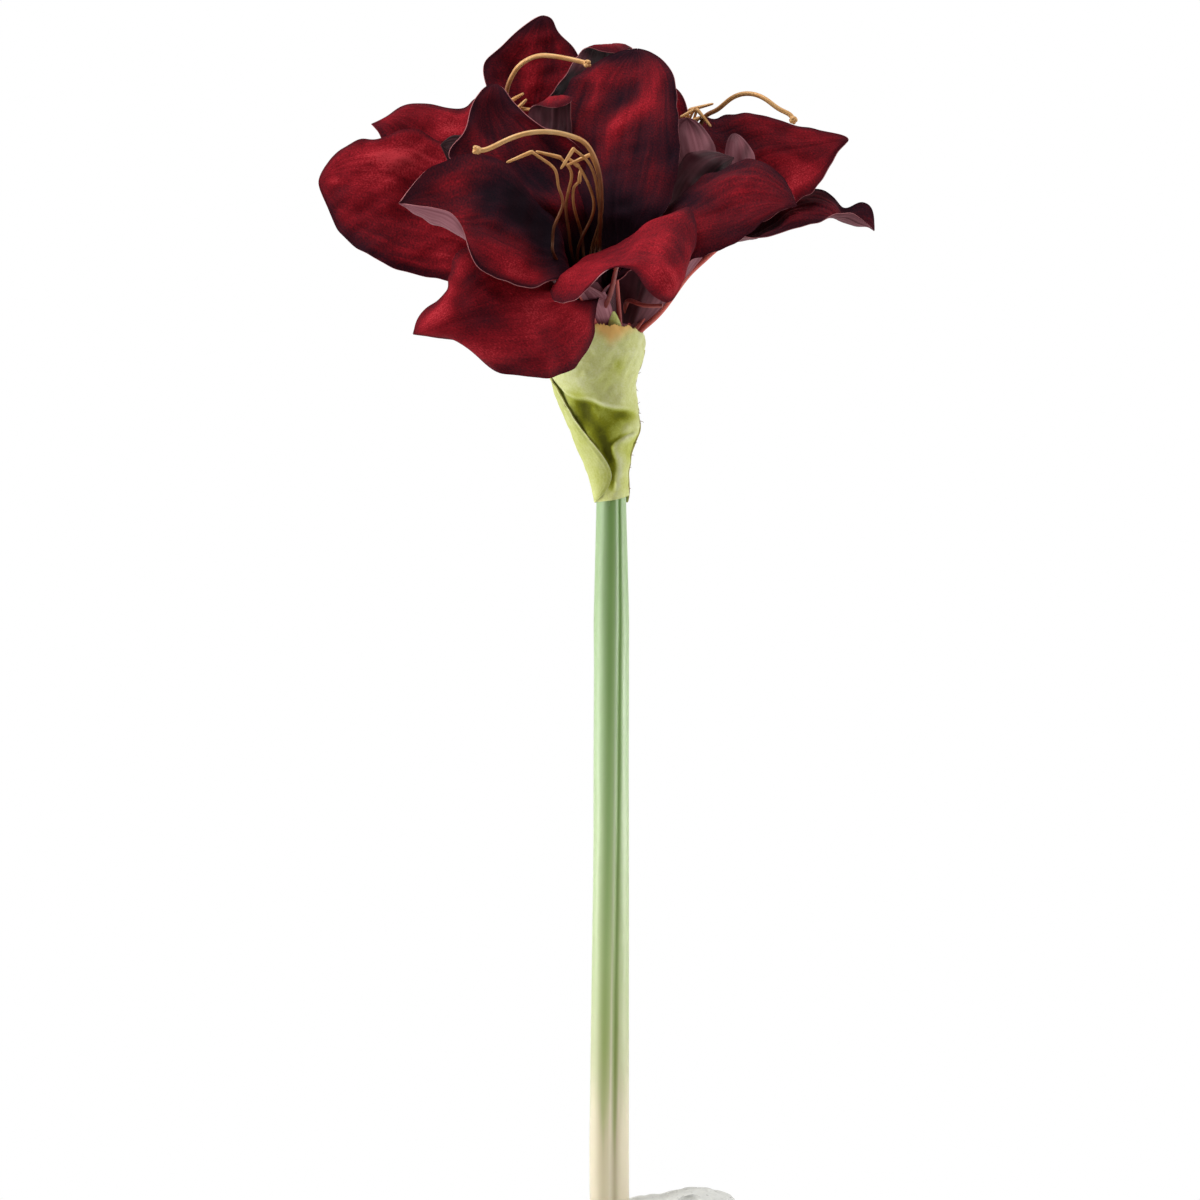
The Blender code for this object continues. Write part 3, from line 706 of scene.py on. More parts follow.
@dataclass(frozen=True)
class StemPlastic(Finish):
    """Dip-coated polythene stem: a soft waxy shine, leaf green that pales to cream below, with
    painted shade that deepens the colour in the grooves and a painted highlight that pales the
    ridge."""

    name: str = "dipped_polythene_stem"
    bump: float = 0.12
    relief: float = 0.15
    stops: tuple = ((0.0, "#DACCA8"), (0.12, "#D4C8A2"), (0.2, "#B8BC86"), (0.3, "#A8B876"),
                    (0.44, "#A6BC7E"), (0.62, "#9EBC7D"), (1.0, "#92B971"))
    low: float = 130.0
    high: float = 505.0
    streak: float = 3.0
    streak_length: float = 70.0
    peel: float = 1.6
    bloom: float = 0.9         # weight of the waxy bloom
    bloom_tint: str = "#F4F8EC"

    def coat(self, tree: Tree) -> Coat:
        """Height over the vase picks the colour; the tone adds painted shade in the grooves and a
        painted highlight on the ridge; long streaks of coating and a fine orange peel.

        Args:
            tree: The material's node tree.

        Returns:
            Its colour, its relief and the shader's other inputs.
        """
        tone = add_node(tree, "Attribute", out="Fac", attribute_name="tone")
        here = add_node(tree, "TexCoord", out="Object")
        height = add_node(tree, "MapRange", {
            "Value": add_node(tree, "SeparateXYZ", {"Vector": here}, "Z"),
            "From Min": self.low * MM, "From Max": self.high * MM})
        drawn = add_node(tree, "Mapping", {"Vector": here, "Scale": (
            METRE / self.streak, METRE / self.streak, METRE / self.streak_length)})
        streaks = add_node(tree, "TexNoise", {"Vector": drawn, "Scale": 1.0, "Detail": 3.0,
                                              "Roughness": 0.55})
        peel = add_node(tree, "TexNoise", {"Vector": here, "Scale": METRE / self.peel,
                                           "Detail": 2.0, "Roughness": 0.5})
        level = add_up(tree, 0.04, (height, 1.0), (streaks, 0.12), (tone, -0.2))
        colour = add_node(tree, "ValToRGB", {"Fac": level}, stops=self.stops)
        # a low tone darkens and saturates the green as painted shade in the grooves, and a high
        # tone on the ridge pales it as a painted highlight
        rich, pale, rough = (
            add_node(tree, "MapRange", {"Value": value, "To Min": least, "To Max": most})
            for value, least, most in ((tone, 1.2, 0.58), (tone, 0.66, 1.42), (streaks, 0.3, 0.44)))
        shaded_colour = add_node(tree, "HueSaturation", {"Color": colour, "Saturation": rich,
                                                  "Value": pale})
        return shaded_colour, peel, {
            "Roughness": rough, "Subsurface Weight": 0.15, "Subsurface Radius": (0.6, 1.0, 0.4),
            "Subsurface Scale": 2.0 * MM, "Sheen Weight": self.bloom, "Sheen Roughness": 0.28,
            "Sheen Tint": linear(self.bloom_tint)}


@dataclass(frozen=True)
class BractCloth(Finish):
    """Stiffened cotton leaf cloth, airbrushed: yellow green, olive where painted shade darkens the
    hollows, peach at the top, with a slubby weave that shows close up."""

    name: str = "airbrushed_leaf_cotton"
    bump: float = 0.35
    relief: float = 0.2
    stops: tuple = ((0.0, "#585A02"), (0.25, "#86890C"), (0.5, "#BEC455"), (0.75, "#DCE098"),
                    (1.0, "#F4F6D0"))
    peach: str = "#ECB866"
    thread: float = 0.5        # drawn coarser than the 0.25 mm threads
    mottle: float = 7.0
    slub: float = 0.9
    roughness: float = 0.85

    def coat(self, tree: Tree) -> Coat:
        """The tone, with its painted highlights and shade, picks the green, the blush adds peach at
        the edge, and threads cross in it.

        Args:
            tree: The material's node tree.

        Returns:
            Its colour, its relief and the shader's other inputs.
        """
        tone, blush = (add_node(tree, "Attribute", out="Fac", attribute_name=key)
                       for key in ("tone", "blush"))
        here = add_node(tree, "TexCoord", out="Object")
        cloth = weave(tree, add_node(tree, "UVMap", uv_map="blade"), self.thread)
        mottle = add_node(tree, "TexNoise", {"Vector": here, "Scale": METRE / self.mottle,
                                             "Detail": 5.0, "Roughness": 0.65})
        slub = add_node(tree, "TexNoise", {"Vector": here, "Scale": METRE / self.slub,
                                           "Detail": 2.0, "Roughness": 0.6})
        level = add_up(tree, -0.31, (tone, 1.0), (mottle, 0.36), (slub, 0.26), (cloth, 0.035))
        green = add_node(tree, "ValToRGB", {"Fac": level}, stops=self.stops)
        top = add_node(tree, "MapRange", {"Value": add_up(tree, blush, (mottle, 0.5)),
                                          "From Min": 0.3, "From Max": 1.2, "To Max": 0.92},
                       interpolation_type="SMOOTHSTEP")
        colour = add_node(tree, "Mix", {"Factor": top, "A": green, "B": linear(self.peach)},
                          "Result", data_type="RGBA")
        return colour, add_up(tree, slub, (cloth, 0.3)), {
            "Roughness": self.roughness, "Specular IOR Level": 0.2, "Sheen Weight": 0.1}


@dataclass(frozen=True)
class RoughStoneware(Finish):
    """Unglazed stoneware, cast with grog and fired: pale, matt and speckled like a beach pebble."""

    name: str = "unglazed_grogged_stoneware"
    bump: float = 0.55
    relief: float = 0.4
    base: str = "#CECEC9"
    dark: str = "#8F8E88"
    pale: str = "#DCDCD7"
    cloud: float = 16.0
    sand: float = 1.3
    speck_spacing: float = 2.42
    roughness: float = 0.92

    def coat(self, tree: Tree) -> Coat:
        """Clouds of two greys with dark specks of grog and a sandy relief.

        A speck fills its cell up to a distance that goes with the cube of the cell's random red.

        Args:
            tree: The material's node tree.

        Returns:
            Its colour, its relief and the shader's other inputs.
        """
        here = add_node(tree, "TexCoord", out="Object")
        clouds = add_node(tree, "TexNoise", {"Vector": here, "Scale": METRE / self.cloud,
                                             "Detail": 9.0, "Roughness": 0.86})
        sand = add_node(tree, "TexNoise", {"Vector": here, "Scale": METRE / self.sand,
                                           "Detail": 3.0, "Roughness": 0.7})
        ground = add_node(tree, "ValToRGB", {"Fac": clouds},
                          stops=((0.3, self.base), (0.7, self.pale)))
        cells = add_node(tree, "TexVoronoi", {"Vector": here,
                                              "Scale": METRE / self.speck_spacing}, "Color")
        picked = add_node(tree, "SeparateColor", {"Color": cells}, "Red")
        size = add_node(tree, "Math", {0: picked, 1: 3.0}, operation="POWER")
        near = add_node(tree, "Math", {0: size, 1: 0.34}, operation="MULTIPLY")
        inside = add_node(tree, "Math", {0: cells.node.outputs["Distance"], 1: near},
                          operation="LESS_THAN")
        depth = add_node(tree, "Math", {0: inside, 1: 0.55}, operation="MULTIPLY")
        colour = add_node(tree, "Mix", {"Factor": depth, "A": ground, "B": linear(self.dark)},
                          "Result", data_type="RGBA")
        return colour, add_up(tree, sand, (inside, -0.5)), {
            "Roughness": self.roughness, "Specular IOR Level": 0.3}


VELVET = PressedVelvet()
SATIN = WovenSatin()
# the cut edge is partly melted cloth and partly a painted highlight along the petals' rims
CUT_EDGE_WITH_PAINTED_HIGHLIGHT = PlainTone()
KEEL_PAINT = PlainTone("coral_dyed_rib_wire", relief=0.25, dark="#6A2024", light="#DC665A",
                       grain=3.0, roughness=0.5, shine=0.4)
GOLD = GoldPaint()
STEM = StemPlastic()
LEAF = BractCloth()
LEAF_EDGE = PlainTone("frayed_leaf_cotton_edge", relief=0.3, dark="#8A7B32", light="#D8D38C",
                      grain=1.2, roughness=0.9, shine=0.2)
SPECK = PlainTone("singed_cotton_fluff", dark="#5A3A12", light="#8E6A22", grain=1.0,
                  roughness=0.9, shine=0.1)
STONEWARE = RoughStoneware()
BLOOM_FINISHES = [VELVET, SATIN, CUT_EDGE_WITH_PAINTED_HIGHLIGHT, KEEL_PAINT]


# The flower's parts


class Side(IntEnum):
    """Slots of a petal's finishes."""

    VELVET = 0
    SATIN = 1
    EDGE = 2
    KEEL = 3


@dataclass(frozen=True)
class Spot:
    """A soft oval: the height of a fold, or a touch of tone for dyed colour and for painted
    highlights and shade.

    Its middle is at x and z as seen from the front, its half length and half width are in
    millimetres, and turn is the angle in degrees of its long line, from +X towards +Z.
    """

    x: float
    z: float
    length: float
    width: float
    amount: float
    turn: float = 0.0

    def value(self, grid: Array) -> Array:
        """Amount at each point: a bell curve along the turned line times one across it.

        Args:
            grid: Points along the last axis.

        Returns:
            The spot's amount at each of them.
        """
        angle = math.radians(self.turn)
        right, up = grid[..., 0] - self.x, grid[..., 2] - self.z
        ahead = (right * math.cos(angle) + up * math.sin(angle)) / self.length
        beside = (up * math.cos(angle) - right * math.sin(angle)) / self.width
        return self.amount * np.exp(-ahead ** 2 - beside ** 2)


def total(spots: tuple[Spot, ...], grid: Array) -> Array:
    """Sum of the spots' amounts at each point of a grid."""
    return sum((spot.value(grid) for spot in spots), np.zeros(grid.shape[:-1]))


@dataclass(frozen=True)
class Petal:
    """One petal by its left edge, midrib and right edge at a few stations from the throat out."""

    name: str
    stations: tuple[Station, ...]
    tip: Point
    wave: float                # height of the ruffle at the margin, and measure of its frill
    layer: float               # how far out its root lies on the tube
    blunt: bool = False        # whether both edges run on round the tip as one curve
    glow: float = 0.5          # tone of the open part of the inner face
    # the outer face's tone also paints light and shade petal by petal: near black where a back lies
    # in shade, pale where an underside faces the light
    back: float = 0.5          # tone of the outer face
    keel: float = 60.0         # length from the root that the wire rib runs along
    throat: float = 60.0       # length from the root up to which the inner face is dark
    # dyed touches, and painted highlights along folds and painted shade in creases
    dye_and_painted_light: tuple[Spot, ...] = ()
    folds: tuple[Spot, ...] = ()
    # the same on the outer face: dyed touches, painted highlights and painted shade
    back_dye_and_painted_light: tuple[Spot, ...] = ()


@dataclass(frozen=True)
class Stamen:
    """A filament from the peg to its joint, and the free end of the anther that is set there."""

    path: tuple[Point, ...]
    anther: Point


@dataclass(frozen=True)
class Rib:
    """A bent rib wire that shows beside the tube, its tone and its radius."""

    path: tuple[Point, ...]
    tone: float
    radius: float


@dataclass
class Bloom:
    """A trumpet of six petals on a foot, with the pistil, filaments and anthers in its throat."""

    name: str
    base: Point
    axis: Point
    petals: tuple[Petal, ...]
    pistil: tuple[Point, ...]
    stamens: tuple[Stamen, ...]
    seed: int
    rows: int = 120
    columns: int = 64
    reach: float = 0.994       # share of its stations that a petal's rows run through
    crowd: float = 1.25        # power by which the rows crowd towards the tip
    root_height: float = 2.0
    root_radius: float = 5.0
    root_step: float = 0.3     # how far a layer's root stands out on the foot
    throat_radius: float = 12.0
    tube_length: float = 34.0
    root_spread: float = 48.0  # half the angle that a petal's root spans on the tube
    funnel_share: float = 1.0  # width of the funnel and of the foot's top against the usual
    ribs: tuple[Rib, ...] = ()
    thickness: float = 0.7
    free: Place = (34.0, 58.0)  # lengths from the root over which a blade leaves the tube
    waved: Place = (45.0, 75.0)  # lengths over which its margin starts to wave
    calm_tip: float = 14.0
    ruffle: float = 6.5        # length over which the ruffle's sine turns by one radian
    ruffle_shift: float = 1.9  # radians between the left and the right margin
    frill: float = 0.7         # height of the frill and the ripple as a share of the wave
    frill_length: float = 15.0
    frill_apart: float = 60.0  # half the distance at which both margins read the random height
    ripple_length: float = 12.0
    ripple_apart: float = 40.0
    groove: float = 0.5
    groove_width: float = 1.4
    vein: float = 0.05
    vein_spacing: float = 3.4
    vein_length: float = 42.0
    buckle: float = 0.7
    buckle_lengths: Place = (27.0, 11.0)
    quick_share: float = 0.35  # height of the quicker buckles against the slow ones
    margin: float = 6.0
    roll: float = 0.8          # how far the margin rolls back
    throat_fade: Place = (-34.0, 12.0)  # lengths before and past the throat that shade it off
    rim_shade: float = 0.42
    keel_start: float = 3.0
    keel_lift: float = 0.8     # how far the rib wire stands out of the petal's back
    keel_radius: float = 1.5
    keel_taper: float = 0.9
    foot_profile: tuple[Place, ...] = (
        (2.6, 0.0), (4.9, 0.0), (5.4, 1.0), (6.2, 4.0), (7.4, 8.0), (8.3, 11.5), (8.0, 13.2),
        (6.6, 14.0), (3.2, 14.0))
    foot_rings: int = 33
    funnel_profile: tuple[Place, ...] = (
        (4.0, 13.0), (6.5, 16.0), (8.0, 24.0), (10.4, 34.0), (13.4, 44.0), (17.0, 52.0))
    funnel_rings: int = 36
    funnel_wall: float = 0.6
    funnel_floor: Place = (13.0, 13.8)  # heights that close the funnel outside and inside
    rim_wander: float = 2.0    # how far the height of the funnel's rim wanders
    foot_ribs: float = 0.03    # height of the six ribs as a share of the radius
    flutes: float = 0.05       # depth of the twelve flutes as a share of the radius
    sides: int = 96
    peg_root: float = 17.0     # height on the peg where pistil and filaments part
    peg_heights: tuple[float, ...] = (9.3, 12.0, 15.0, 18.0, 20.0)
    peg_radii: tuple[float, ...] = (2.5, 2.6, 2.8, 3.2, 1.2)
    peg_spread: float = 1.3    # how far from its middle the filaments leave the peg
    pistil_radius: float = 1.2
    stigma_swell: float = 0.7
    lobe_turns: tuple[float, ...] = (90.0, 210.0, 330.0)
    lobe_length: float = 3.2
    lobe_root: float = 1.4
    lobe_spread: float = 1.5
    lobe_radius: float = 1.25
    filament_radius: float = 0.85
    filament_taper: float = 0.18
    knuckle: float = 0.45
    anther_radius: float = 1.25
    anther_taper: float = 0.42
    anther_groove: float = 0.3

    @property
    def foot(self) -> Array:
        """Middle of the foot's underside."""
        return np.array(self.base, float)

    @property
    def up(self) -> Array:
        """Unit vector along the bloom's axis."""
        return unit(self.axis)

    def ring(self, outward: Array, height: float, radius: float) -> Station:
        """Left edge, middle and right edge of a petal where it stands in the tube.

        Args:
            outward: Unit vector across the axis towards the petal's middle.
            height: Height over the foot along the axis.
            radius: Radius of the tube.

        Returns:
            Three points of the circle, the root spread apart.
        """
        spread = math.radians(self.root_spread)
        centre = self.foot + self.up * height
        middle = outward * math.cos(spread)
        side = np.cross(outward, self.up) * math.sin(spread)
        return (centre + radius * (middle - side), centre + radius * outward,
                centre + radius * (middle + side))

    def blade(self, petal: Petal) -> tuple[Array, Array, Array, Array, Array]:
        """Middle surface of a petal before its fine relief.

        Splines run along the left edge, the midrib and the right edge from two rings on the tube
        through the stations to the tip, a parabola joins the three across, the margins wander in
        the blade's own plane, and a ruffle grows with the cube of the distance from the midrib.

        Args:
            petal: The petal.

        Returns:
            The grid, its inner side's normals row by row, the length from the root row by row,
            the share across from -1 to 1, and the half width row by row.
        """
        towards = np.array(petal.stations[0][1], float) - self.foot
        outward = unit(towards - (towards @ self.up) * self.up)
        stations = [
            self.ring(outward, self.root_height, self.root_radius + self.root_step * petal.layer),
            self.ring(outward, self.tube_length, self.throat_radius + petal.layer),
            *petal.stations]
        left, middle, right = (np.array([s[k] for s in stations] + [petal.tip], float)
                               for k in range(3))
        last = len(middle) - 1
        along = last * (1 - (1 - np.linspace(0, self.reach, self.rows)) ** self.crowd)
        midrib = natural_curve(middle, along)
        if petal.blunt:
            outline = np.concatenate([left, right[-2::-1]])
            left_edge = natural_curve(outline, along)
            right_edge = natural_curve(outline, 2 * last - along)
        else:
            left_edge = natural_curve(left, along)
            right_edge = natural_curve(right, along)
        v = np.linspace(-1, 1, self.columns)[None, :]
        w = v[..., None]
        grid = (left_edge[:, None] * (w * w - w) / 2 + midrib[:, None] * (1 - w * w)
                + right_edge[:, None] * (w * w + w) / 2)
        chord = right_edge - left_edge
        inward = unit(np.cross(chord, np.gradient(midrib, axis=0)))[:, None]
        length = lengths(midrib)[:, None]
        fade = ease(length, *self.waved) * ease(length[-1] - length, 0, self.calm_tip)
        seed = int(100 * self.seed + 10 * petal.layer + 7 * len(petal.stations))
        frill = self.frill * petal.wave * wander(
            join(length, self.frill_apart * np.sign(v)), self.frill_length, seed, waves=10)
        grid = grid + unit(chord)[:, None] * (frill * v * np.abs(v) ** 3 * fade)[..., None]
        ruffle = petal.wave * np.abs(v) ** 3 * fade * np.sin(
            length / self.ruffle + self.ruffle_shift * (v > 0))
        half = np.linalg.norm(chord, axis=1)[:, None] / 2
        return grid + inward * ruffle[..., None], inward, length, v, half

    def petal_piece(self, petal: Petal, seed: int) -> None:
        """One petal with its relief, its dyed tone with painted highlights and shade, its cut edge
        and its wire rib.

        The relief is a groove along the midrib, fine long veins, slow and quicker buckles, a
        ripple of the margin that also rolls back, and the petal's own folds, all along the inner
        normals.

        Args:
            petal: The petal.
            seed: Seed of its buckles and veins.
        """
        grid, inward, length, v, half = self.blade(petal)
        widest = half.max()
        free = ease(length, *self.free)
        to_tip = length[-1] - length
        margin = 1 - ease(half * (1 - np.abs(v)), 0.0, self.margin)
        veins = wander(join(v * widest / self.vein_spacing, length / self.vein_length), 1.0, seed)
        slow, quick = self.buckle_lengths
        buckles = wander(grid, slow, seed + 1, waves=16) \
            + self.quick_share * wander(grid, quick, seed + 3, waves=16)
        ripple = wander(join(length, self.ripple_apart * np.sign(v)), self.ripple_length,
                        seed + 2, waves=12)
        tip = ease(to_tip, 0, 12)
        relief = (-self.groove * hump(v * half, 0, self.groove_width) * ease(to_tip, 2, 30)
                  + self.vein * veins * free
                  + self.buckle * buckles * free * tip * (1 - 0.5 * margin)
                  + self.frill * petal.wave * ripple * margin * free * tip
                  - self.roll * margin ** 2 * free)
        grid = grid + inward * (relief + total(petal.folds, grid))[..., None]
        outward = grid_normals(grid)

        opened = 0.3 * ease(length, 30, 60) \
            + 0.7 * ease(length, *(petal.throat + np.array(self.throat_fade)))
        rim = np.maximum(margin, 1 - ease(to_tip, 0.0, 8.0))
        # painted light on the inner face: the spots add highlights and shade, and the tone rises a
        # little on the crests of veins and buckles
        inner = (petal.glow + total(petal.dye_and_painted_light, grid) + 0.03 * veins + 0.05 * buckles) \
            * (1 - self.rim_shade * rim) * opened
        # the outer face is painted darker near the root, a painted shade where the petals crowd
        # onto the tube
        outer = petal.back + total(petal.back_dye_and_painted_light, grid) + 0.05 * veins \
            - 0.15 * (1 - ease(length, 10, 50))
        shell = Shell()
        shell.add_sheet(grid, outward, self.thickness * (1 - 0.4 * margin),
                        join(v * widest, length) / BLADE_UNIT, (inner, outer),
                        (Side.VELVET, Side.SATIN, Side.EDGE))
        if petal.keel:
            middle = self.columns // 2
            run = length[:, 0]
            rows = np.flatnonzero((run > self.keel_start) & (run < petal.keel))[::4]
            centre = (grid[rows, middle] + grid[rows, middle - 1]) / 2
            centre = centre + outward[rows, middle] * self.keel_lift
            share = np.linspace(0, 1, 60)
            shell.add_tube(natural_curve(centre, share * (len(centre) - 1)),
                           self.keel_radius - self.keel_taper * share ** 2, 12, Side.KEEL,
                           0.3 + 0.4 * share)
        dress(shell.make(f"petal_{self.name}_{petal.name}", BLOOM_FINISHES),
              "bloom_" + self.name)

    def turned(self, radii: Array, heights: Array, flutes: Array) -> Array:
        """Rings round the bloom's axis.

        Args:
            radii: Radius of each ring.
            heights: Height of each ring over the foot.
            flutes: Share of the radius at each ring and side.

        Returns:
            Points as rows × sides × 3.
        """
        across = unit(np.cross(self.up, (0.0, 1.0, 0.3)))
        turn = turns(flutes.shape[1])[None, :, None]
        ring = np.cos(turn) * across + np.sin(turn) * np.cross(self.up, across)
        return (self.foot + self.up * heights[:, None, None]
                + (radii[:, None] * flutes)[..., None] * ring)

    def foot_piece(self) -> None:
        """Solid foot under the petals, and the fluted funnel that lines the tube behind them.

        The foot is a turned profile with six ribs. The funnel's radius grows with the height by a
        smooth table, its flutes are a cosine of twelve times the angle that grows upwards, and its
        rim's height wanders.
        """
        shell = Shell()
        turn = turns(self.sides)[None, :]
        radii, heights = smooth(self.foot_profile, self.foot_rings).T
        radii = radii * (1 - (1 - self.funnel_share) * ease(heights, 1, 8))
        ribbed = 1 + self.foot_ribs * np.cos(6 * turn) * np.ones((self.foot_rings, 1))
        shell.add_rings(self.foot + self.up * heights[0], self.turned(radii, heights, ribbed),
                        self.foot + self.up * heights[-1], Side.SATIN, 0.25)

        wide, high = smooth(self.funnel_profile, self.funnel_rings).T
        wide = wide * self.funnel_share
        grown = ease(high, 14, 50)[:, None]
        flutes = 1 + self.flutes * grown * np.cos(12 * turn + 1.5 * np.sin(2 * turn))
        outer = self.turned(wide, high, flutes)
        inner = self.turned(wide - self.funnel_wall, high + 0.5, flutes)[::-1]
        lift = self.rim_wander * wander(circle(self.sides)[:, :2], 1.2, self.seed, waves=8)
        share = np.concatenate([grown, grown[::-1]]) ** 3
        rings = np.concatenate([outer, inner]) + self.up * (share * lift[None, :])[..., None]
        slots = np.repeat((Side.SATIN, Side.VELVET), self.funnel_rings)
        tone = np.concatenate([0.15 + 0.3 * grown[:, 0], np.zeros(self.funnel_rings)])
        below, above = (self.foot + self.up * floor for floor in self.funnel_floor)
        shell.add_rings(below, rings, above, slots, tone)
        for rib in self.ribs:
            share = np.linspace(0, 1, 60)
            shell.add_tube(smooth(rib.path, 60), rib.radius * (1 - 0.3 * share), 12, Side.KEEL,
                           rib.tone + 0.15 * share)
        dress(shell.make("foot_" + self.name, BLOOM_FINISHES), "bloom_" + self.name)

    def pistil_parts(self, shell: Shell, root: Array) -> None:
        """Pistil that runs from the peg, and the three lobes of its stigma.

        Args:
            shell: Shell that takes the tubes.
            root: Where it leaves the peg.
        """
        path = smooth([root, *self.pistil], 150)
        share = np.linspace(0, 1, 150)
        swell = (1 + self.stigma_swell * ease(share, 0.95, 0.985)) \
            * (0.9 + 0.1 * ease(share, 0, 0.5))
        # the pistil's paint darkens towards the peg, a painted shade deep in the throat
        shell.add_tube(path, self.pistil_radius * swell, 16, 0, 0.12 + 0.58 * ease(share, 0.2, 0.6))
        ahead = unit(path[-1] - path[-4])
        side = unit(np.cross(ahead, (0.0, 1.0, 0.0)))
        up = np.cross(side, ahead)
        steps = np.linspace(0, 1, 11)
        width = self.lobe_radius * np.sqrt(np.clip(1 - (1.94 * steps - 0.96) ** 2, 0.02, 1))
        for turn in np.radians(self.lobe_turns):
            lean = math.cos(turn) * side + math.sin(turn) * up
            lobe = path[-1] + ahead * (self.lobe_length * steps - self.lobe_root)[:, None] \
                + lean * (self.lobe_spread * steps ** 0.7)[:, None]
            shell.add_tube(lobe, width, 12, 0, 0.68)

    def stamen_parts(self, shell: Shell, stamen: Stamen, root: Array, number: int) -> None:
        """One filament with a knuckle at its end, and the slim bar of its anther.

        The anther's radius rises to its full size near the joint and then narrows evenly to a
        rounded end, and its section is a circle with a groove.

        Args:
            shell: Shell that takes the tubes.
            stamen: The stamen.
            root: Where the group leaves the peg.
            number: Its number in the group, for its place on the peg.
        """
        turn = 2 * math.pi * number / len(self.stamens)
        start = root + self.peg_spread * np.array((math.cos(turn), 0.5 * math.sin(turn), 0.0))
        share = np.linspace(0, 1, 110)
        path = natural_curve([start, *stamen.path], share * len(stamen.path))
        knuckle = 1 + self.knuckle * hump(share, 1.0, 0.022)
        # the filament's paint darkens towards the peg, a painted shade deep in the throat
        shell.add_tube(path, self.filament_radius * (1 - self.filament_taper * share) * knuckle,
                       10, 0, 0.12 + 0.5 * ease(share, 0.3, 0.9))
        joint, end = path[-1], np.array(stamen.anther, float)
        steps = np.linspace(0, 1, 30)
        bar = joint + (end - joint) * (1.08 * steps - 0.08)[:, None]
        round_ends = np.clip(1 - np.abs(2 * steps - 1) ** 9, 0.02, 1) ** 0.5
        radii = self.anther_radius * (1.0 - self.anther_taper * steps) * round_ends
        groove = 1 - self.anther_groove * hump(np.linspace(-1, 1, 14), 0, 0.25)
        shell.add_tube(bar, radii, 14, 0, 0.66, groove)

    def stamen_piece(self) -> None:
        """Pistil, filaments and anthers on one peg."""
        root = self.foot + self.up * self.peg_root
        shell = Shell()
        # the peg is painted dark, a painted shade deep in the foot
        shell.add_tube(self.foot + self.up * np.array(self.peg_heights)[:, None], self.peg_radii,
                       16, 0, 0.1)
        self.pistil_parts(shell, root)
        for number, stamen in enumerate(self.stamens):
            self.stamen_parts(shell, stamen, root, number)
        dress(shell.make("stamens_group_" + self.name, [GOLD], 70.0),
              "stamens_" + self.name)

    def build(self) -> None:
        """Make the bloom's pieces."""
        for number, petal in enumerate(self.petals):
            self.petal_piece(petal, 100 * self.seed + 7 * number)
        self.foot_piece()
        self.stamen_piece()


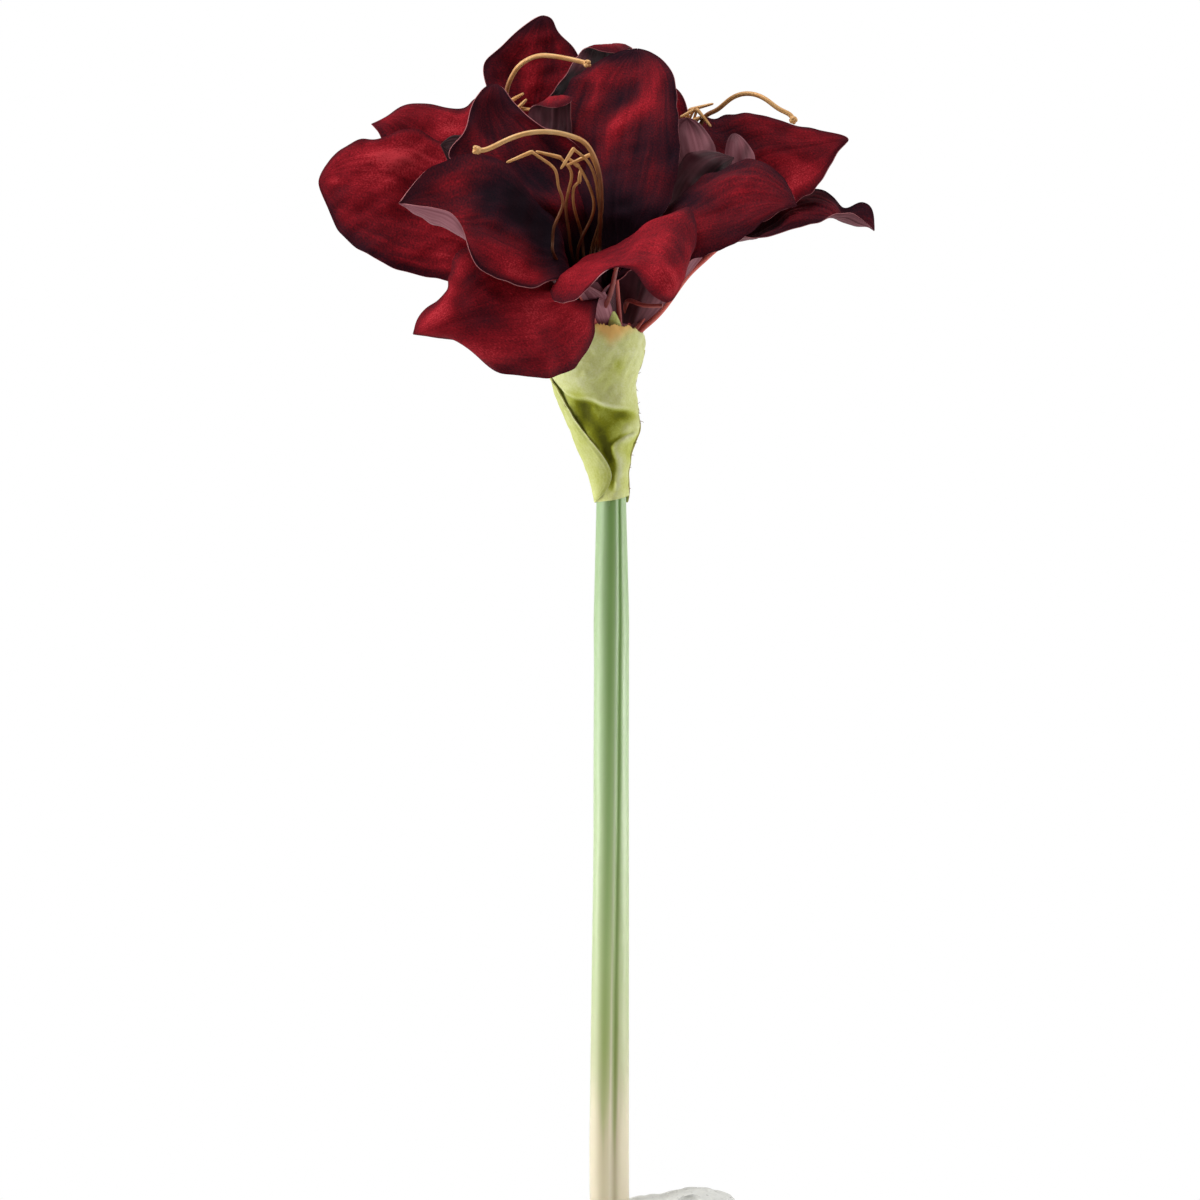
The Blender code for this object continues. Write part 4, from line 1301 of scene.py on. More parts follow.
@dataclass
class Scape:
    """The long stem with a moulded ridge and grooves, and the pedicels that carry the blooms."""

    bottom: float = 12.3
    top: float = 503.0
    rings: int = 260
    sides: int = 96
    heights: tuple[float, ...] = (12, 175, 240, 330, 420, 435, 470, 495, 503)
    radii: tuple[float, ...] = (10.0, 9.9, 9.5, 8.9, 8.8, 8.9, 8.1, 7.45, 7.3)
    ridge_heights: tuple[float, ...] = (12, 250, 360, 500)
    ridge_turns: tuple[float, ...] = (-2.0, 4.0, 12.0, 19.0)
    lean_heights: tuple[float, ...] = (12, 175, 330, 503)
    leans: tuple[float, ...] = (0.0, -0.4, 0.6, 0.7)
    # degrees from the ridge, width in degrees and depth of each groove, below 0 for a ridge
    grooves: tuple[Point, ...] = ((-22, 14, 0.45), (12, 7, 0.42), (0, 3.6, -0.2), (165, 9, 0.35))
    # the same for the painted shade in the grooves and, below 0, the painted highlight on the
    # ridge, and how much painted shade lies elsewhere
    groove_shades: tuple[Point, ...] = ((-19, 14, 0.46), (14, 6.5, 0.6), (0, 3.2, -0.4))
    painted_shade_base: float = 0.36
    bumps: float = 0.05        # height of the stem's slow unevenness
    pedicel_radius: float = 3.9
    pedicel_rings: int = 50
    spigot_radius: float = 2.2
    spigot_length: float = 5.0
    gap: float = 0.3

    def section(self, height: Array, turn: Array) -> tuple[Array, Array]:
        """Radius and tone round the stem, which a groove on each side of the ridge cuts.

        A ring's radius is the stem's own at that height, less two bell-shaped grooves, plus a thin
        bell-shaped ridge between them whose place creeps round the stem with height.

        Args:
            height: Height of each ring.
            turn: Angle of each side.

        Returns:
            The radius, and how light the stem is painted, from 0 in the painted shade of the
            grooves to 1.
        """
        ridge = np.radians(-90 + np.interp(height, self.ridge_heights, self.ridge_turns))

        def bells(marks: tuple[Point, ...]) -> Array:
            """Sum of the marks' bell curves round the stem."""
            return sum(depth * hump(np.angle(np.exp(1j * (turn - ridge - math.radians(angle)))), 0,
                                    math.radians(width)) for angle, width, depth in marks)

        # painted shade in the grooves and a painted highlight on the ridge, weaker low on the stem
        stem_shade = self.painted_shade_base + bells(self.groove_shades) * (0.45 + 0.55 * ease(height, 150, 230))
        rough = wander(join(3 * np.cos(turn), 3 * np.sin(turn), height / 22), 2.2, 5, waves=16)
        radius = np.interp(height, self.heights, self.radii) - bells(self.grooves) \
            + self.bumps * rough
        return radius, 1 - np.clip(stem_shade, 0, 1)

    def pedicel(self, shell: Shell, bloom: Bloom) -> None:
        """One short stalk on a Bézier curve, with the spigot that holds the bloom.

        Args:
            shell: Shell that takes the tube.
            bloom: The bloom that it carries.
        """
        base, axis = bloom.foot, bloom.up
        start = unit((base[0], base[1], 0.0)) * 3.2 + (0, 0, self.top - 12)
        corners = [start, start + (0, 0, 36), base - axis * 24, base - axis * 4]
        t = np.linspace(0, 1, self.pedicel_rings)[:, None]
        path = ((1 - t) ** 3 * corners[0] + 3 * t * (1 - t) ** 2 * corners[1]
                + 3 * t * t * (1 - t) * corners[2] + t ** 3 * corners[3])
        seat = base - axis * self.gap
        path = np.concatenate([path, [seat, seat + axis * 0.02,
                                      base + axis * (self.spigot_length - 0.5)]])
        width = [self.pedicel_radius] * (self.pedicel_rings + 1) + [self.spigot_radius] * 2
        shell.add_tube(path, width, 28)

    def build(self, blooms: tuple[Bloom, ...]) -> None:
        """Rings up the stem, then the pedicels.

        Args:
            blooms: The blooms that the pedicels run to.
        """
        height = np.linspace(self.bottom, self.top, self.rings)[:, None]
        turn = turns(self.sides)[None, :]
        radius, tone = self.section(height, turn)
        lean = np.interp(height, self.lean_heights, self.leans)
        rings = join(radius * np.cos(turn) + lean, radius * np.sin(turn), height)
        shell = Shell()
        shell.add_rings((0, 0, self.bottom), rings[:, ::-1], (0, 0, self.top + 1.0), 0,
                        tone[:, ::-1])
        for bloom in blooms:
            self.pedicel(shell, bloom)
        dress(shell.make("scape_ridged", [STEM], 45.0), "scape")


@dataclass
class Bracts:
    """The papery sheath under the blooms: a front bract, a left one wrapped round it and a tip."""

    bottom: float = 494.5
    top: float = 583.0
    thickness: float = 0.7
    rows: int = 130
    columns: int = 150
    # height, left and right limit, front and back limit
    envelope: tuple[tuple[float, ...], ...] = (
        (494.5, -6.7, 8.4, -8.2, 8.4), (500.5, -7.6, 9.1, -8.8, 9.0), (507.5, -9.3, 8.7, -9.8, 9.8),
        (513.5, -11.2, 9.3, -11.4, 11.0), (521.5, -14.5, 11.0, -13.5, 13.5),
        (530.5, -18.0, 14.4, -16.0, 16.5), (536.5, -20.5, 14.3, -17.5, 18.0),
        (543.5, -23.4, 13.3, -20.0, 19.0), (550.5, -26.0, 12.2, -22.0, 20.0),
        (555.5, -28.0, 12.5, -23.5, 21.0), (560.5, -29.5, 14.3, -24.5, 21.5),
        (566.5, -31.0, 16.4, -26.0, 22.5), (574.5, -32.0, 16.8, -28.0, 24.0),
        (583.0, -32.5, 15.6, -30.0, 26.0))
    # height of the front bract's overhanging lip at a few places from left to right
    lip: tuple[Place, ...] = (
        (-29.0, 558.0), (-22.5, 549.5), (-16.0, 545.5), (-10.0, 545.0), (-5.0, 543.0), (2.0, 541.0),
        (8.0, 540.5), (14.0, 539.5))
    # height and x of the left bract's free front edge
    left_edge: tuple[Place, ...] = (
        (494.5, -7.5), (499.0, -3.0), (504.0, 0.0), (508.0, 0.8), (513.0, -1.0), (519.0, -5.0),
        (525.0, -10.0), (531.0, -15.0), (537.5, -19.0), (544.5, -23.0), (550.5, -26.5),
        (555.5, -30.5), (565.0, -33.0), (583.0, -34.5))
    # height and x of the pleat's edge on the front bract
    pleat: tuple[Place, ...] = (
        (496.0, 2.4), (501.0, 2.5), (507.0, 3.2), (513.0, 3.7), (517.5, 2.4), (521.5, 1.5),
        (524.5, 4.4), (527.0, 8.0), (530.5, 15.0))
    creases: tuple[Spot, ...] = (
        Spot(-2.2, 519.5, 7.5, 2.8, -1.2, -74), Spot(9.6, 518, 6.5, 2.2, -0.9, 70),
        Spot(3.6, 504, 6, 2.4, 0.6, 85), Spot(-14, 537, 7, 6, -1.0, -40),
        Spot(3, 561, 7, 6, -0.8), Spot(12, 556, 8, 4, 0.8, 70), Spot(-10, 560, 9, 5, 0.7, -30))
    # painted shade in the creases, under the lip and in the hollows, with a few painted highlights
    dye_and_painted_light: tuple[Spot, ...] = (
        Spot(-16, 539.5, 9, 6.5, -0.85, -38), Spot(-9, 528, 12, 7, -0.55, -50),
        Spot(9, 537, 7.5, 3.8, -0.6), Spot(0, 532, 8, 7, -0.36),
        Spot(-1.6, 519.5, 7, 2.6, -0.6, -74), Spot(11.6, 521, 7, 2.2, -0.9, 68),
        Spot(4.5, 561, 7, 3.5, -0.26, 50), Spot(13, 570, 8, 3, 0.1, 80), Spot(5, 503, 6, 7, -0.12))
    # degrees and the front bract's top edge over the sheath's top, and its bottom edge
    top_edge: tuple[Place, ...] = (
        (-30, -14.0), (0, -6.5), (40, -2.0), (62, -1.8), (80, -1.6), (97, -1.0), (115, -4.0),
        (172, -15.0))
    bottom_edge: tuple[Place, ...] = ((0, 3.6), (30, 2.6), (90, 0.6), (140, 0.0))
    # spine of the inner bract, and its half width at five marks along it
    spine: tuple[Point, ...] = (
        (5.0, -6.8, 512), (4.5, -9.5, 540), (4.0, -17.0, 565), (2.4, -23.9, 581), (1.5, -27.6, 588))
    spine_widths: tuple[Place, ...] = ((0, 2.0), (1, 3.0), (3, 3.3), (3.5, 2.0), (4, 0.4))
    hollow: float = 2.6        # depth below the lip
    bulge: float = 1.5         # height of the lip and of the pleat
    clear: Place = (0.95, 1.95)  # distance of the left bract from the envelope, low and high
    left_drop: Place = (3.0, 9.0)  # how far its top edge lies lower, at its front and its end
    left_end: float = 338.0    # degrees at which it ends behind the right side
    threads: int = 26
    # height and degrees of the specks on the left bract
    specks: tuple[Place, ...] = ((541.5, 148.0), (530.0, 127.0), (525.0, 120.0))

    def limits(self, height: Array) -> tuple[Array, ...]:
        """The envelope's limits at a height, on a smooth table.

        Args:
            height: Height over the foot of the vase.

        Returns:
            Its left, right, front and back limit.
        """
        table = smooth(self.envelope, 240)
        return tuple(np.interp(height, table[:, 0], table[:, k]) for k in (1, 2, 3, 4))

    def round(self, height: Array, degrees: Array, offset: Array) -> Array:
        """Point on the bracts' envelope, an ellipse at each height; 90 degrees is the front.

        Args:
            height: Height over the foot of the vase.
            degrees: Place round the ellipse, 0 on the right and 90 in front.
            offset: Distance out from the envelope.

        Returns:
            The points.
        """
        left, right, front, back = self.limits(height)
        turn = np.radians(degrees)
        x = (left + right) / 2 + ((right - left) / 2 + offset) * np.cos(turn)
        y = (front + back) / 2 - ((back - front) / 2 + offset) * np.sin(turn)
        return join(x, y, height)

    def sheet(self, name: str, grid: Array, tone: Array, blush: Array | float = 0.0) -> None:
        """One bract as a closed blade of cloth.

        Args:
            name: The name of the CAD node that it stands for.
            grid: Its middle surface, whose along crossed with across points out.
            tone: How light the outer face is at each point.
            blush: How peach the cloth is at each point.
        """
        along, across = (np.cumsum(np.linalg.norm(np.diff(grid, axis=axis, prepend=np.take(
            grid, [0], axis=axis)), axis=2), axis=axis) for axis in (0, 1))
        shell = Shell()
        shell.add_sheet(grid, grid_normals(grid), self.thickness, join(across, along) / BLADE_UNIT,
                        (tone * 0.8, tone), (0, 0, 1), blush)
        dress(shell.make(name + "_cloth", [LEAF, LEAF_EDGE]), name)

    def front(self) -> None:
        """The front bract: the envelope with an overhanging lip, a pleat and soft creases.

        Across the lip the distance from the envelope rises in a soft step from a hollow below to
        a bulge above, each of which dies away as a bell curve. Past the pleat's edge it rises in
        such a step too. The creases are oval bells, and two slow random heights crumple the cloth.
        """
        rows = np.linspace(0, 1, self.rows)[:, None]
        degrees = -30 + 202 * np.linspace(0, 1, self.columns)[None, :] + 0 * rows
        top = np.interp(degrees, *zip(*self.top_edge)) \
            + crumpled(degrees[..., None], 11, (0.35, 14.0), (0.22, 4.0), waves=10)
        bottom = self.bottom + np.interp(degrees, *zip(*self.bottom_edge))
        height = bottom + rows * (self.top + top - bottom)
        flat = self.round(height, degrees, 0)
        seen = hump(degrees, 88, 62)
        x, z = flat[..., 0], flat[..., 2]

        over = height - np.interp(x, *smooth(self.lip, 120).T)
        step = ease(over, -1.2, 0.8)
        lip = (-self.hollow * (1 - step) * hump(over, 0, 11)
               + self.bulge * step * hump(over, 0, 14)) * seen
        past = x - np.interp(height, *smooth(self.pleat, 120).T)
        gate = (1 - ease(height, 527.5, 531)) * ease(height, 498, 503) * seen
        fold = lip + self.bulge * ease(past, -0.8, 0.6) * hump(past, 0, 8) * gate
        creases = total(self.creases, flat) * (degrees > -20)
        crumple = crumpled(flat, 13, (0.4, 15.0), (0.13, 5.0))
        grid = self.round(height, degrees, fold + creases * seen + crumple)

        # painted shade on the right side below the lip
        edge = (1 - ease(degrees, 2, 14)) * (1 - ease(height, 525, 540))
        # painted highlight along the pleat's edge, painted shade beside and past it
        pleat = 0.26 * hump(past, 0.5, 1.1) - 0.34 * hump(past, -1.9, 1.9) \
            - 0.3 * ease(past, 1.5, 7)
        # painted light: the spots, a highlight on the lip's edge, shade under the lip, the right
        # side's shade, the pleat's light and shade, and lighter where the crumple rises
        tone = 0.76 + total(self.dye_and_painted_light, flat) * seen + 0.24 * hump(over, 0.4, 0.8) * seen \
            - 0.24 * hump(over, -2.2, 2.2) * seen - 0.3 * edge + 0.06 * crumple + pleat * gate
        slope = np.where(x < 0, -0.8 * x, 0.62 * x)
        blush = ease(z - 570.5 - slope, -5, 10) * (degrees > 20)
        self.sheet("bract_front", grid, tone, blush)

    def left(self) -> None:
        """The left bract, wrapped from its free front edge round the back to the right side.

        Its distance from the envelope grows with the height by a soft step, so that it lies close
        on the stem below and stands clear of the front bract above.
        """
        rows = np.linspace(0, 1, self.rows)[:, None]
        across = np.linspace(0, 1, self.columns)[None, :] ** 1.4
        front_drop, end_drop = self.left_drop
        height = self.bottom + rows * (self.top - self.bottom - front_drop - end_drop * across)
        near, far = self.clear
        clear = near + (far - near) * ease(height, 500, 530)
        start = np.interp(height, *smooth(self.left_edge, 300).T)
        left, right, _, _ = self.limits(height)
        reach = (start - (left + right) / 2) / ((right - left) / 2 + clear)
        edge = np.degrees(np.arccos(np.clip(reach, -1, 1)))
        degrees = edge + (self.left_end - edge) * across
        flat = self.round(height, degrees, clear)
        curl = 0.5 * (1 - ease(across, 0, 0.05))
        crumple = crumpled(flat, 23, (0.25, 18.0), (0.1, 6.0))
        ribs = np.sin(across * 160)
        grid = self.round(height, degrees, clear + crumple + 0.04 * ribs - curl)
        # a painted highlight along the free front edge, and lighter where the crumple and ribs rise
        tone = 0.64 + 0.05 * crumple + 0.22 * (1 - ease(across, 0, 0.012)) + 0.02 * ribs
        self.sheet("bract_left", grid, tone)

    def inner(self) -> None:
        """The slim tip of the inner bract between the pedicels: a spine with a half width."""
        marks = np.linspace(0, 4, 60)
        path = natural_curve(self.spine, marks)
        width = np.interp(marks, *zip(*self.spine_widths))[:, None, None]
        v = np.linspace(-1, 1, 14)[None, :, None]
        grid = path[:, None] + np.array((1.0, 0.15, 0.0)) * width * v \
            + np.array((0.0, 0.5, 0.0)) * v * v
        self.sheet("bract_inner", grid, np.full(grid.shape[:2], 0.8))

    def fluff(self) -> None:
        """Frayed threads and specks along the bracts' edges, each a short bent tube."""
        draw = np.random.default_rng(31)
        shell = Shell()
        places = [(float(draw.uniform(498, 560)), float(draw.uniform(-8, 8)))
                  for _ in range(self.threads)]
        t = np.linspace(0, 1, 7)[:, None]
        for height, degrees in (*places, *self.specks):
            offset, drift = (0.5, 0.7) if degrees < 90 else (2.7, -0.1)
            start = self.round(height, degrees, offset)
            reach = draw.normal(size=3) * (0.5, 0.5, 0.7) + (drift, -0.5, 0)
            path = start + reach * t + draw.normal(size=3) * 0.5 * t * t
            shell.add_tube(path, 0.16 * (1.1 - 0.7 * t[:, 0]), 5)
        dress(shell.make("bract_fluff", [SPECK]), "bract_front")

    def build(self) -> None:
        """Make the bracts and their fluff."""
        self.front()
        self.left()
        self.inner()
        self.fluff()


@dataclass
class PebbleVase:
    """Hollow stoneware vase like a beach pebble, with a hole for the scape and a small pit."""

    width: float = 158.0
    depth: float = 120.0
    height: float = 144.5
    belly: float = 0.43        # share of the height at which the wall stands widest
    foot: float = 0.8          # how far the wall below follows its superellipse inwards
    powers: Place = (2.4, 3.4)  # of the superellipse below and above the belly
    centre_x: float = 8.0      # how far the top stands to the side of the foot
    # x and the height that the top gains there
    slope: tuple[Place, ...] = ((-75, -14.0), (-30, -7.0), (-10, -3.5), (5, -1.0), (25, 2.5),
                                (46, 9.0), (60, 11.0), (85, -2.0))
    shoulder: float = 142.5    # height at which the wall turns into the dome
    wall: float = 9.0
    floor: float = 12.0
    inner_top: float = 131.0
    inner_heights: Place = (124.0, 20.0)
    # height and wavelength of the skin's unevenness, and the point that it pushes away from
    skin: tuple[Place, ...] = ((0.18, 7.0), (0.35, 24.0))
    heart: Point = (4.0, 0.0, 70.0)
    hole: float = 11.5
    neck: float = 14.0         # depth of the hole
    sides: int = 200
    pit: float = 5.5
    pit_depth: float = 6.5
    pit_place: Place = (39.5, -19.0)
    pit_run: float = 12.0      # how far the pit's cutter stands out
    pit_way: Point = (-0.12, 0.42, -1.0)

    def lift(self, x: Array, share: Array) -> Array:
        """Slope of the top: a table over x times the squared share of the upper height.

        Args:
            x: Place from left to right.
            share: Height as a share of the vase's.

        Returns:
            The height gained there.
        """
        return np.interp(x, *zip(*self.slope)) * np.clip((share - 0.25) / 0.75, 0, 1) ** 2

    def ring(self, height: Array, shrink: float) -> Array:
        """Rings of the wall: an ellipse whose size follows a superellipse up the side.

        Args:
            height: Height of each ring.
            shrink: How far they stand inside the outer wall.

        Returns:
            Points as rows × sides × 3.
        """
        share = height / self.height
        low, high = self.powers
        below = self.foot * np.clip(self.belly - share, 0, 1) / self.belly
        above = np.clip(share - self.belly, 0, 1) / (1 - self.belly)
        swell = (1 - below ** low) ** (1 / low) * (1 - above ** high) ** (1 / high)
        turn = turns(self.sides)[None, :]
        x = (self.width / 2 * swell - shrink) * np.cos(turn) + self.centre_x * share
        y = (self.depth / 2 * swell - shrink) * np.sin(turn)
        return join(x, y, height + self.lift(x, share))

    def build(self) -> None:
        """Outer wall, dome, mouth and inner wall as one run of rings, then the pit cut out."""
        round_hole = self.hole * circle(self.sides)
        foot = self.ring(np.zeros((1, 1)), 3.0)
        rise = np.sin(np.linspace(0.012, math.pi / 2, 90))[:, None]
        outer = self.ring(self.shoulder * rise, 0.0)
        shares = np.linspace(0.03, 0.96, 34)[:, None, None]
        dome = outer[-1] * (1, 1, 0) * (1 - shares) \
            + (self.hole + 1.0) * circle(self.sides) * shares
        dome[..., 2] = self.height - 2.0 * (1 - shares[..., 0]) ** 2 + self.lift(dome[..., 0], 1.0)
        mouth = round_hole.copy()
        mouth[:, 2] = self.height - 1.0 + self.lift(mouth[:, 0], 1.0)
        neck = round_hole + (0, 0, self.height - self.neck)
        high, low = self.inner_heights
        inner_top = self.ring(np.array([[self.inner_top]]), self.wall + 12.0) * (1, 1, 0.98)
        inner = self.ring(np.linspace(high, low, 26)[:, None], self.wall)
        bottom = self.ring(np.array([[low]]), self.wall + 8.0) * (1, 1, 0) + (0, 0, self.floor)
        rings = np.concatenate([foot, outer, dome, mouth[None], neck[None], inner_top, inner,
                                bottom])
        rough = crumpled(rings, 51, *self.skin)
        outside = np.zeros(len(rings))
        outside[2:len(foot) + len(outer) + len(dome)] = 1.0
        push = unit(rings - np.array(self.heart))
        rings = rings + push * (rough * outside[:, None])[..., None]
        shell = Shell()
        shell.add_rings((0, 0, 0.0), rings, (0, 0, self.floor))
        vase = shell.make("vase_pebble", [STONEWARE], 60.0)
        self.cut_pit(vase)
        dress(vase, "vase")

    def cut_pit(self, vase: bpy.types.Object) -> None:
        """Cut the blind pit with a turned, slanting cutter, and keep the result only.

        Args:
            vase: The vase without its pit.
        """
        x, y = self.pit_place
        top = self.height + float(self.lift(x, 1.0))
        down = unit(self.pit_way)
        end = self.pit_run + self.pit_depth
        reach = np.array([0.0, self.pit_run, end - 1.5, end - 0.5, end])
        path = np.array((x, y, top)) - down * self.pit_run + down * reach[:, None]
        shell = Shell()
        shell.add_tube(path, self.pit + np.array([1.5, 0.0, 0.0, -1.0, -3.0]), 40)
        cutter = shell.make("pit_cutter", [])
        cut = vase.modifiers.new("Pit", "BOOLEAN")
        cut.operation = "DIFFERENCE"
        cut.object = cutter
        cut.solver = "EXACT"
        graph = bpy.context.evaluated_depsgraph_get()
        mesh = bpy.data.meshes.new_from_object(vase.evaluated_get(graph))
        vase.modifiers.clear()
        vase.data = mesh
        bpy.data.objects.remove(cutter)


@dataclass
class Studio:
    """Pale floor, soft boxes at both sides, a soft top light and the camera of the photograph."""

    camera_at: Point = (-5.0, -2200.0, 445.5)
    lens: float = 132.0
    sensor: float = 36.0
    floor_radius: float = 1000.0
    floor_rings: int = 24
    floor_sides: int = 128
    # shares of the floor's radius between which it thins out
    floor_fade: Place = (0.45, 0.98)

    def build(self) -> None:
        """Make the floor, the world, the lights and the camera."""
        self.floor()
        self.world()
        self.lamp("side_box_left", (-1500, -500, 950), (0, 0, 520), size=900, power=16.0)
        self.lamp("side_box_right", (1500, -300, 800), (0, 0, 500), size=900, power=9.0)
        self.lamp("top_box", (-250, -500, 2000), (0, 0, 560), size=800, power=12.0)
        for name, x in (("stem_box_left", -700), ("stem_box_right", 700)):
            self.lamp(name, (x, 60, 320), (0, 0, 320), size=300, power=0.11, spread=34.0)
        self.camera()

    def floor(self) -> None:
        """Pale round floor that thins out into the white surround."""
        rows, sides = self.floor_rings, self.floor_sides
        rings = circle(sides) * np.linspace(1, self.floor_radius, rows)[:, None, None]
        shell = Shell()
        shell.add(np.concatenate([rings.reshape(-1, 3), [(0, 0, 0)]]) - (0, 0, 0.2),
                  [(quads(rows, sides, True), 0), (fan(rows * sides, np.arange(sides)), 0)])
        floor = shell.make("studio_floor", [])
        floor.data.materials.append(self.floor_paint())

    def floor_paint(self) -> bpy.types.Material:
        """Matt white paint that turns clear between two distances from the middle.

        Returns:
            The material.
        """
        paint = bpy.data.materials.new("matt_white_studio_paint")
        paint.use_nodes = True
        tree = paint.node_tree
        shader = tree.nodes["Principled BSDF"]
        feed(shader, {"Base Color": linear("#F4F4F2"), "Roughness": 0.9})
        away = add_node(tree, "VectorMath", {0: add_node(tree, "TexCoord", out="Object")}, "Value",
                        operation="LENGTH")
        start, end = (self.floor_radius * share * MM for share in self.floor_fade)
        fade = add_node(tree, "MapRange", {"Value": away, "From Min": start, "From Max": end},
                        interpolation_type="SMOOTHSTEP")
        mixed = add_node(tree, "MixShader", {0: fade, 1: shader.outputs["BSDF"],
                                             2: add_node(tree, "BsdfTransparent")})
        feed(tree.nodes["Material Output"], {"Surface": mixed})
        return paint

    def world(self) -> None:
        """White surround to the eye, whose light comes from behind and beside, little from the
        front."""
        white = (1, 1, 1, 1)
        world = bpy.data.worlds.new("white_surround")
        world.use_nodes = True
        tree = world.node_tree
        way = add_node(tree, "TexCoord", out="Generated")
        back = add_node(tree, "SeparateXYZ", {"Vector": way}, "Y")
        power = add_node(tree, "MapRange", {"Value": back, "From Min": -0.8, "From Max": 0.5,
                                            "To Min": 0.12, "To Max": 0.85},
                         interpolation_type="SMOOTHSTEP")
        cast, seen = (add_node(tree, "Background", {"Color": white, "Strength": strength})
                      for strength in (power, 1.0))
        mixed = add_node(tree, "MixShader", {0: add_node(tree, "LightPath", out="Is Camera Ray"),
                                             1: cast, 2: seen})
        feed(tree.nodes["World Output"], {"Surface": mixed})
        bpy.context.scene.world = world
        bpy.context.scene.view_settings.view_transform = "Standard"

    def lamp(self, name: str, stand: Point, target: Point, size: float, power: float,
             spread: float = 180.0) -> None:
        """Square soft box that looks from its stand at a target.

        Args:
            name: Its name.
            stand: Where it stands.
            target: Where it looks.
            size: Length of its sides.
            power: Power in watts.
            spread: Angle of its beam in degrees.
        """
        light = bpy.data.lights.new(name, "AREA")
        light.spread = math.radians(spread)
        light.shape = "SQUARE"
        light.size = size * MM
        light.energy = power
        self.aim(put_in_scene(bpy.data.objects.new(name, light)), stand, target)

    def camera(self) -> None:
        """Level long-lens camera in front, which frames the flower and the vase's shoulder."""
        lens = bpy.data.cameras.new("product_camera")
        lens.lens = self.lens
        lens.sensor_width = self.sensor
        camera = put_in_scene(bpy.data.objects.new("product_camera", lens))
        x, _, z = self.camera_at
        self.aim(camera, self.camera_at, (x, 0.0, z))
        bpy.context.scene.camera = camera

    def aim(self, thing: bpy.types.Object, stand: Point, target: Point) -> None:
        """Set a thing at a place, looking along its -Z at a target.

        Args:
            thing: A lamp or a camera.
            stand: Where it stands.
            target: Where it looks.
        """
        thing.location = [p * MM for p in stand]
        ahead = Vector(target) - Vector(stand)
        thing.rotation_euler = ahead.to_track_quat("-Z", "Y").to_euler()


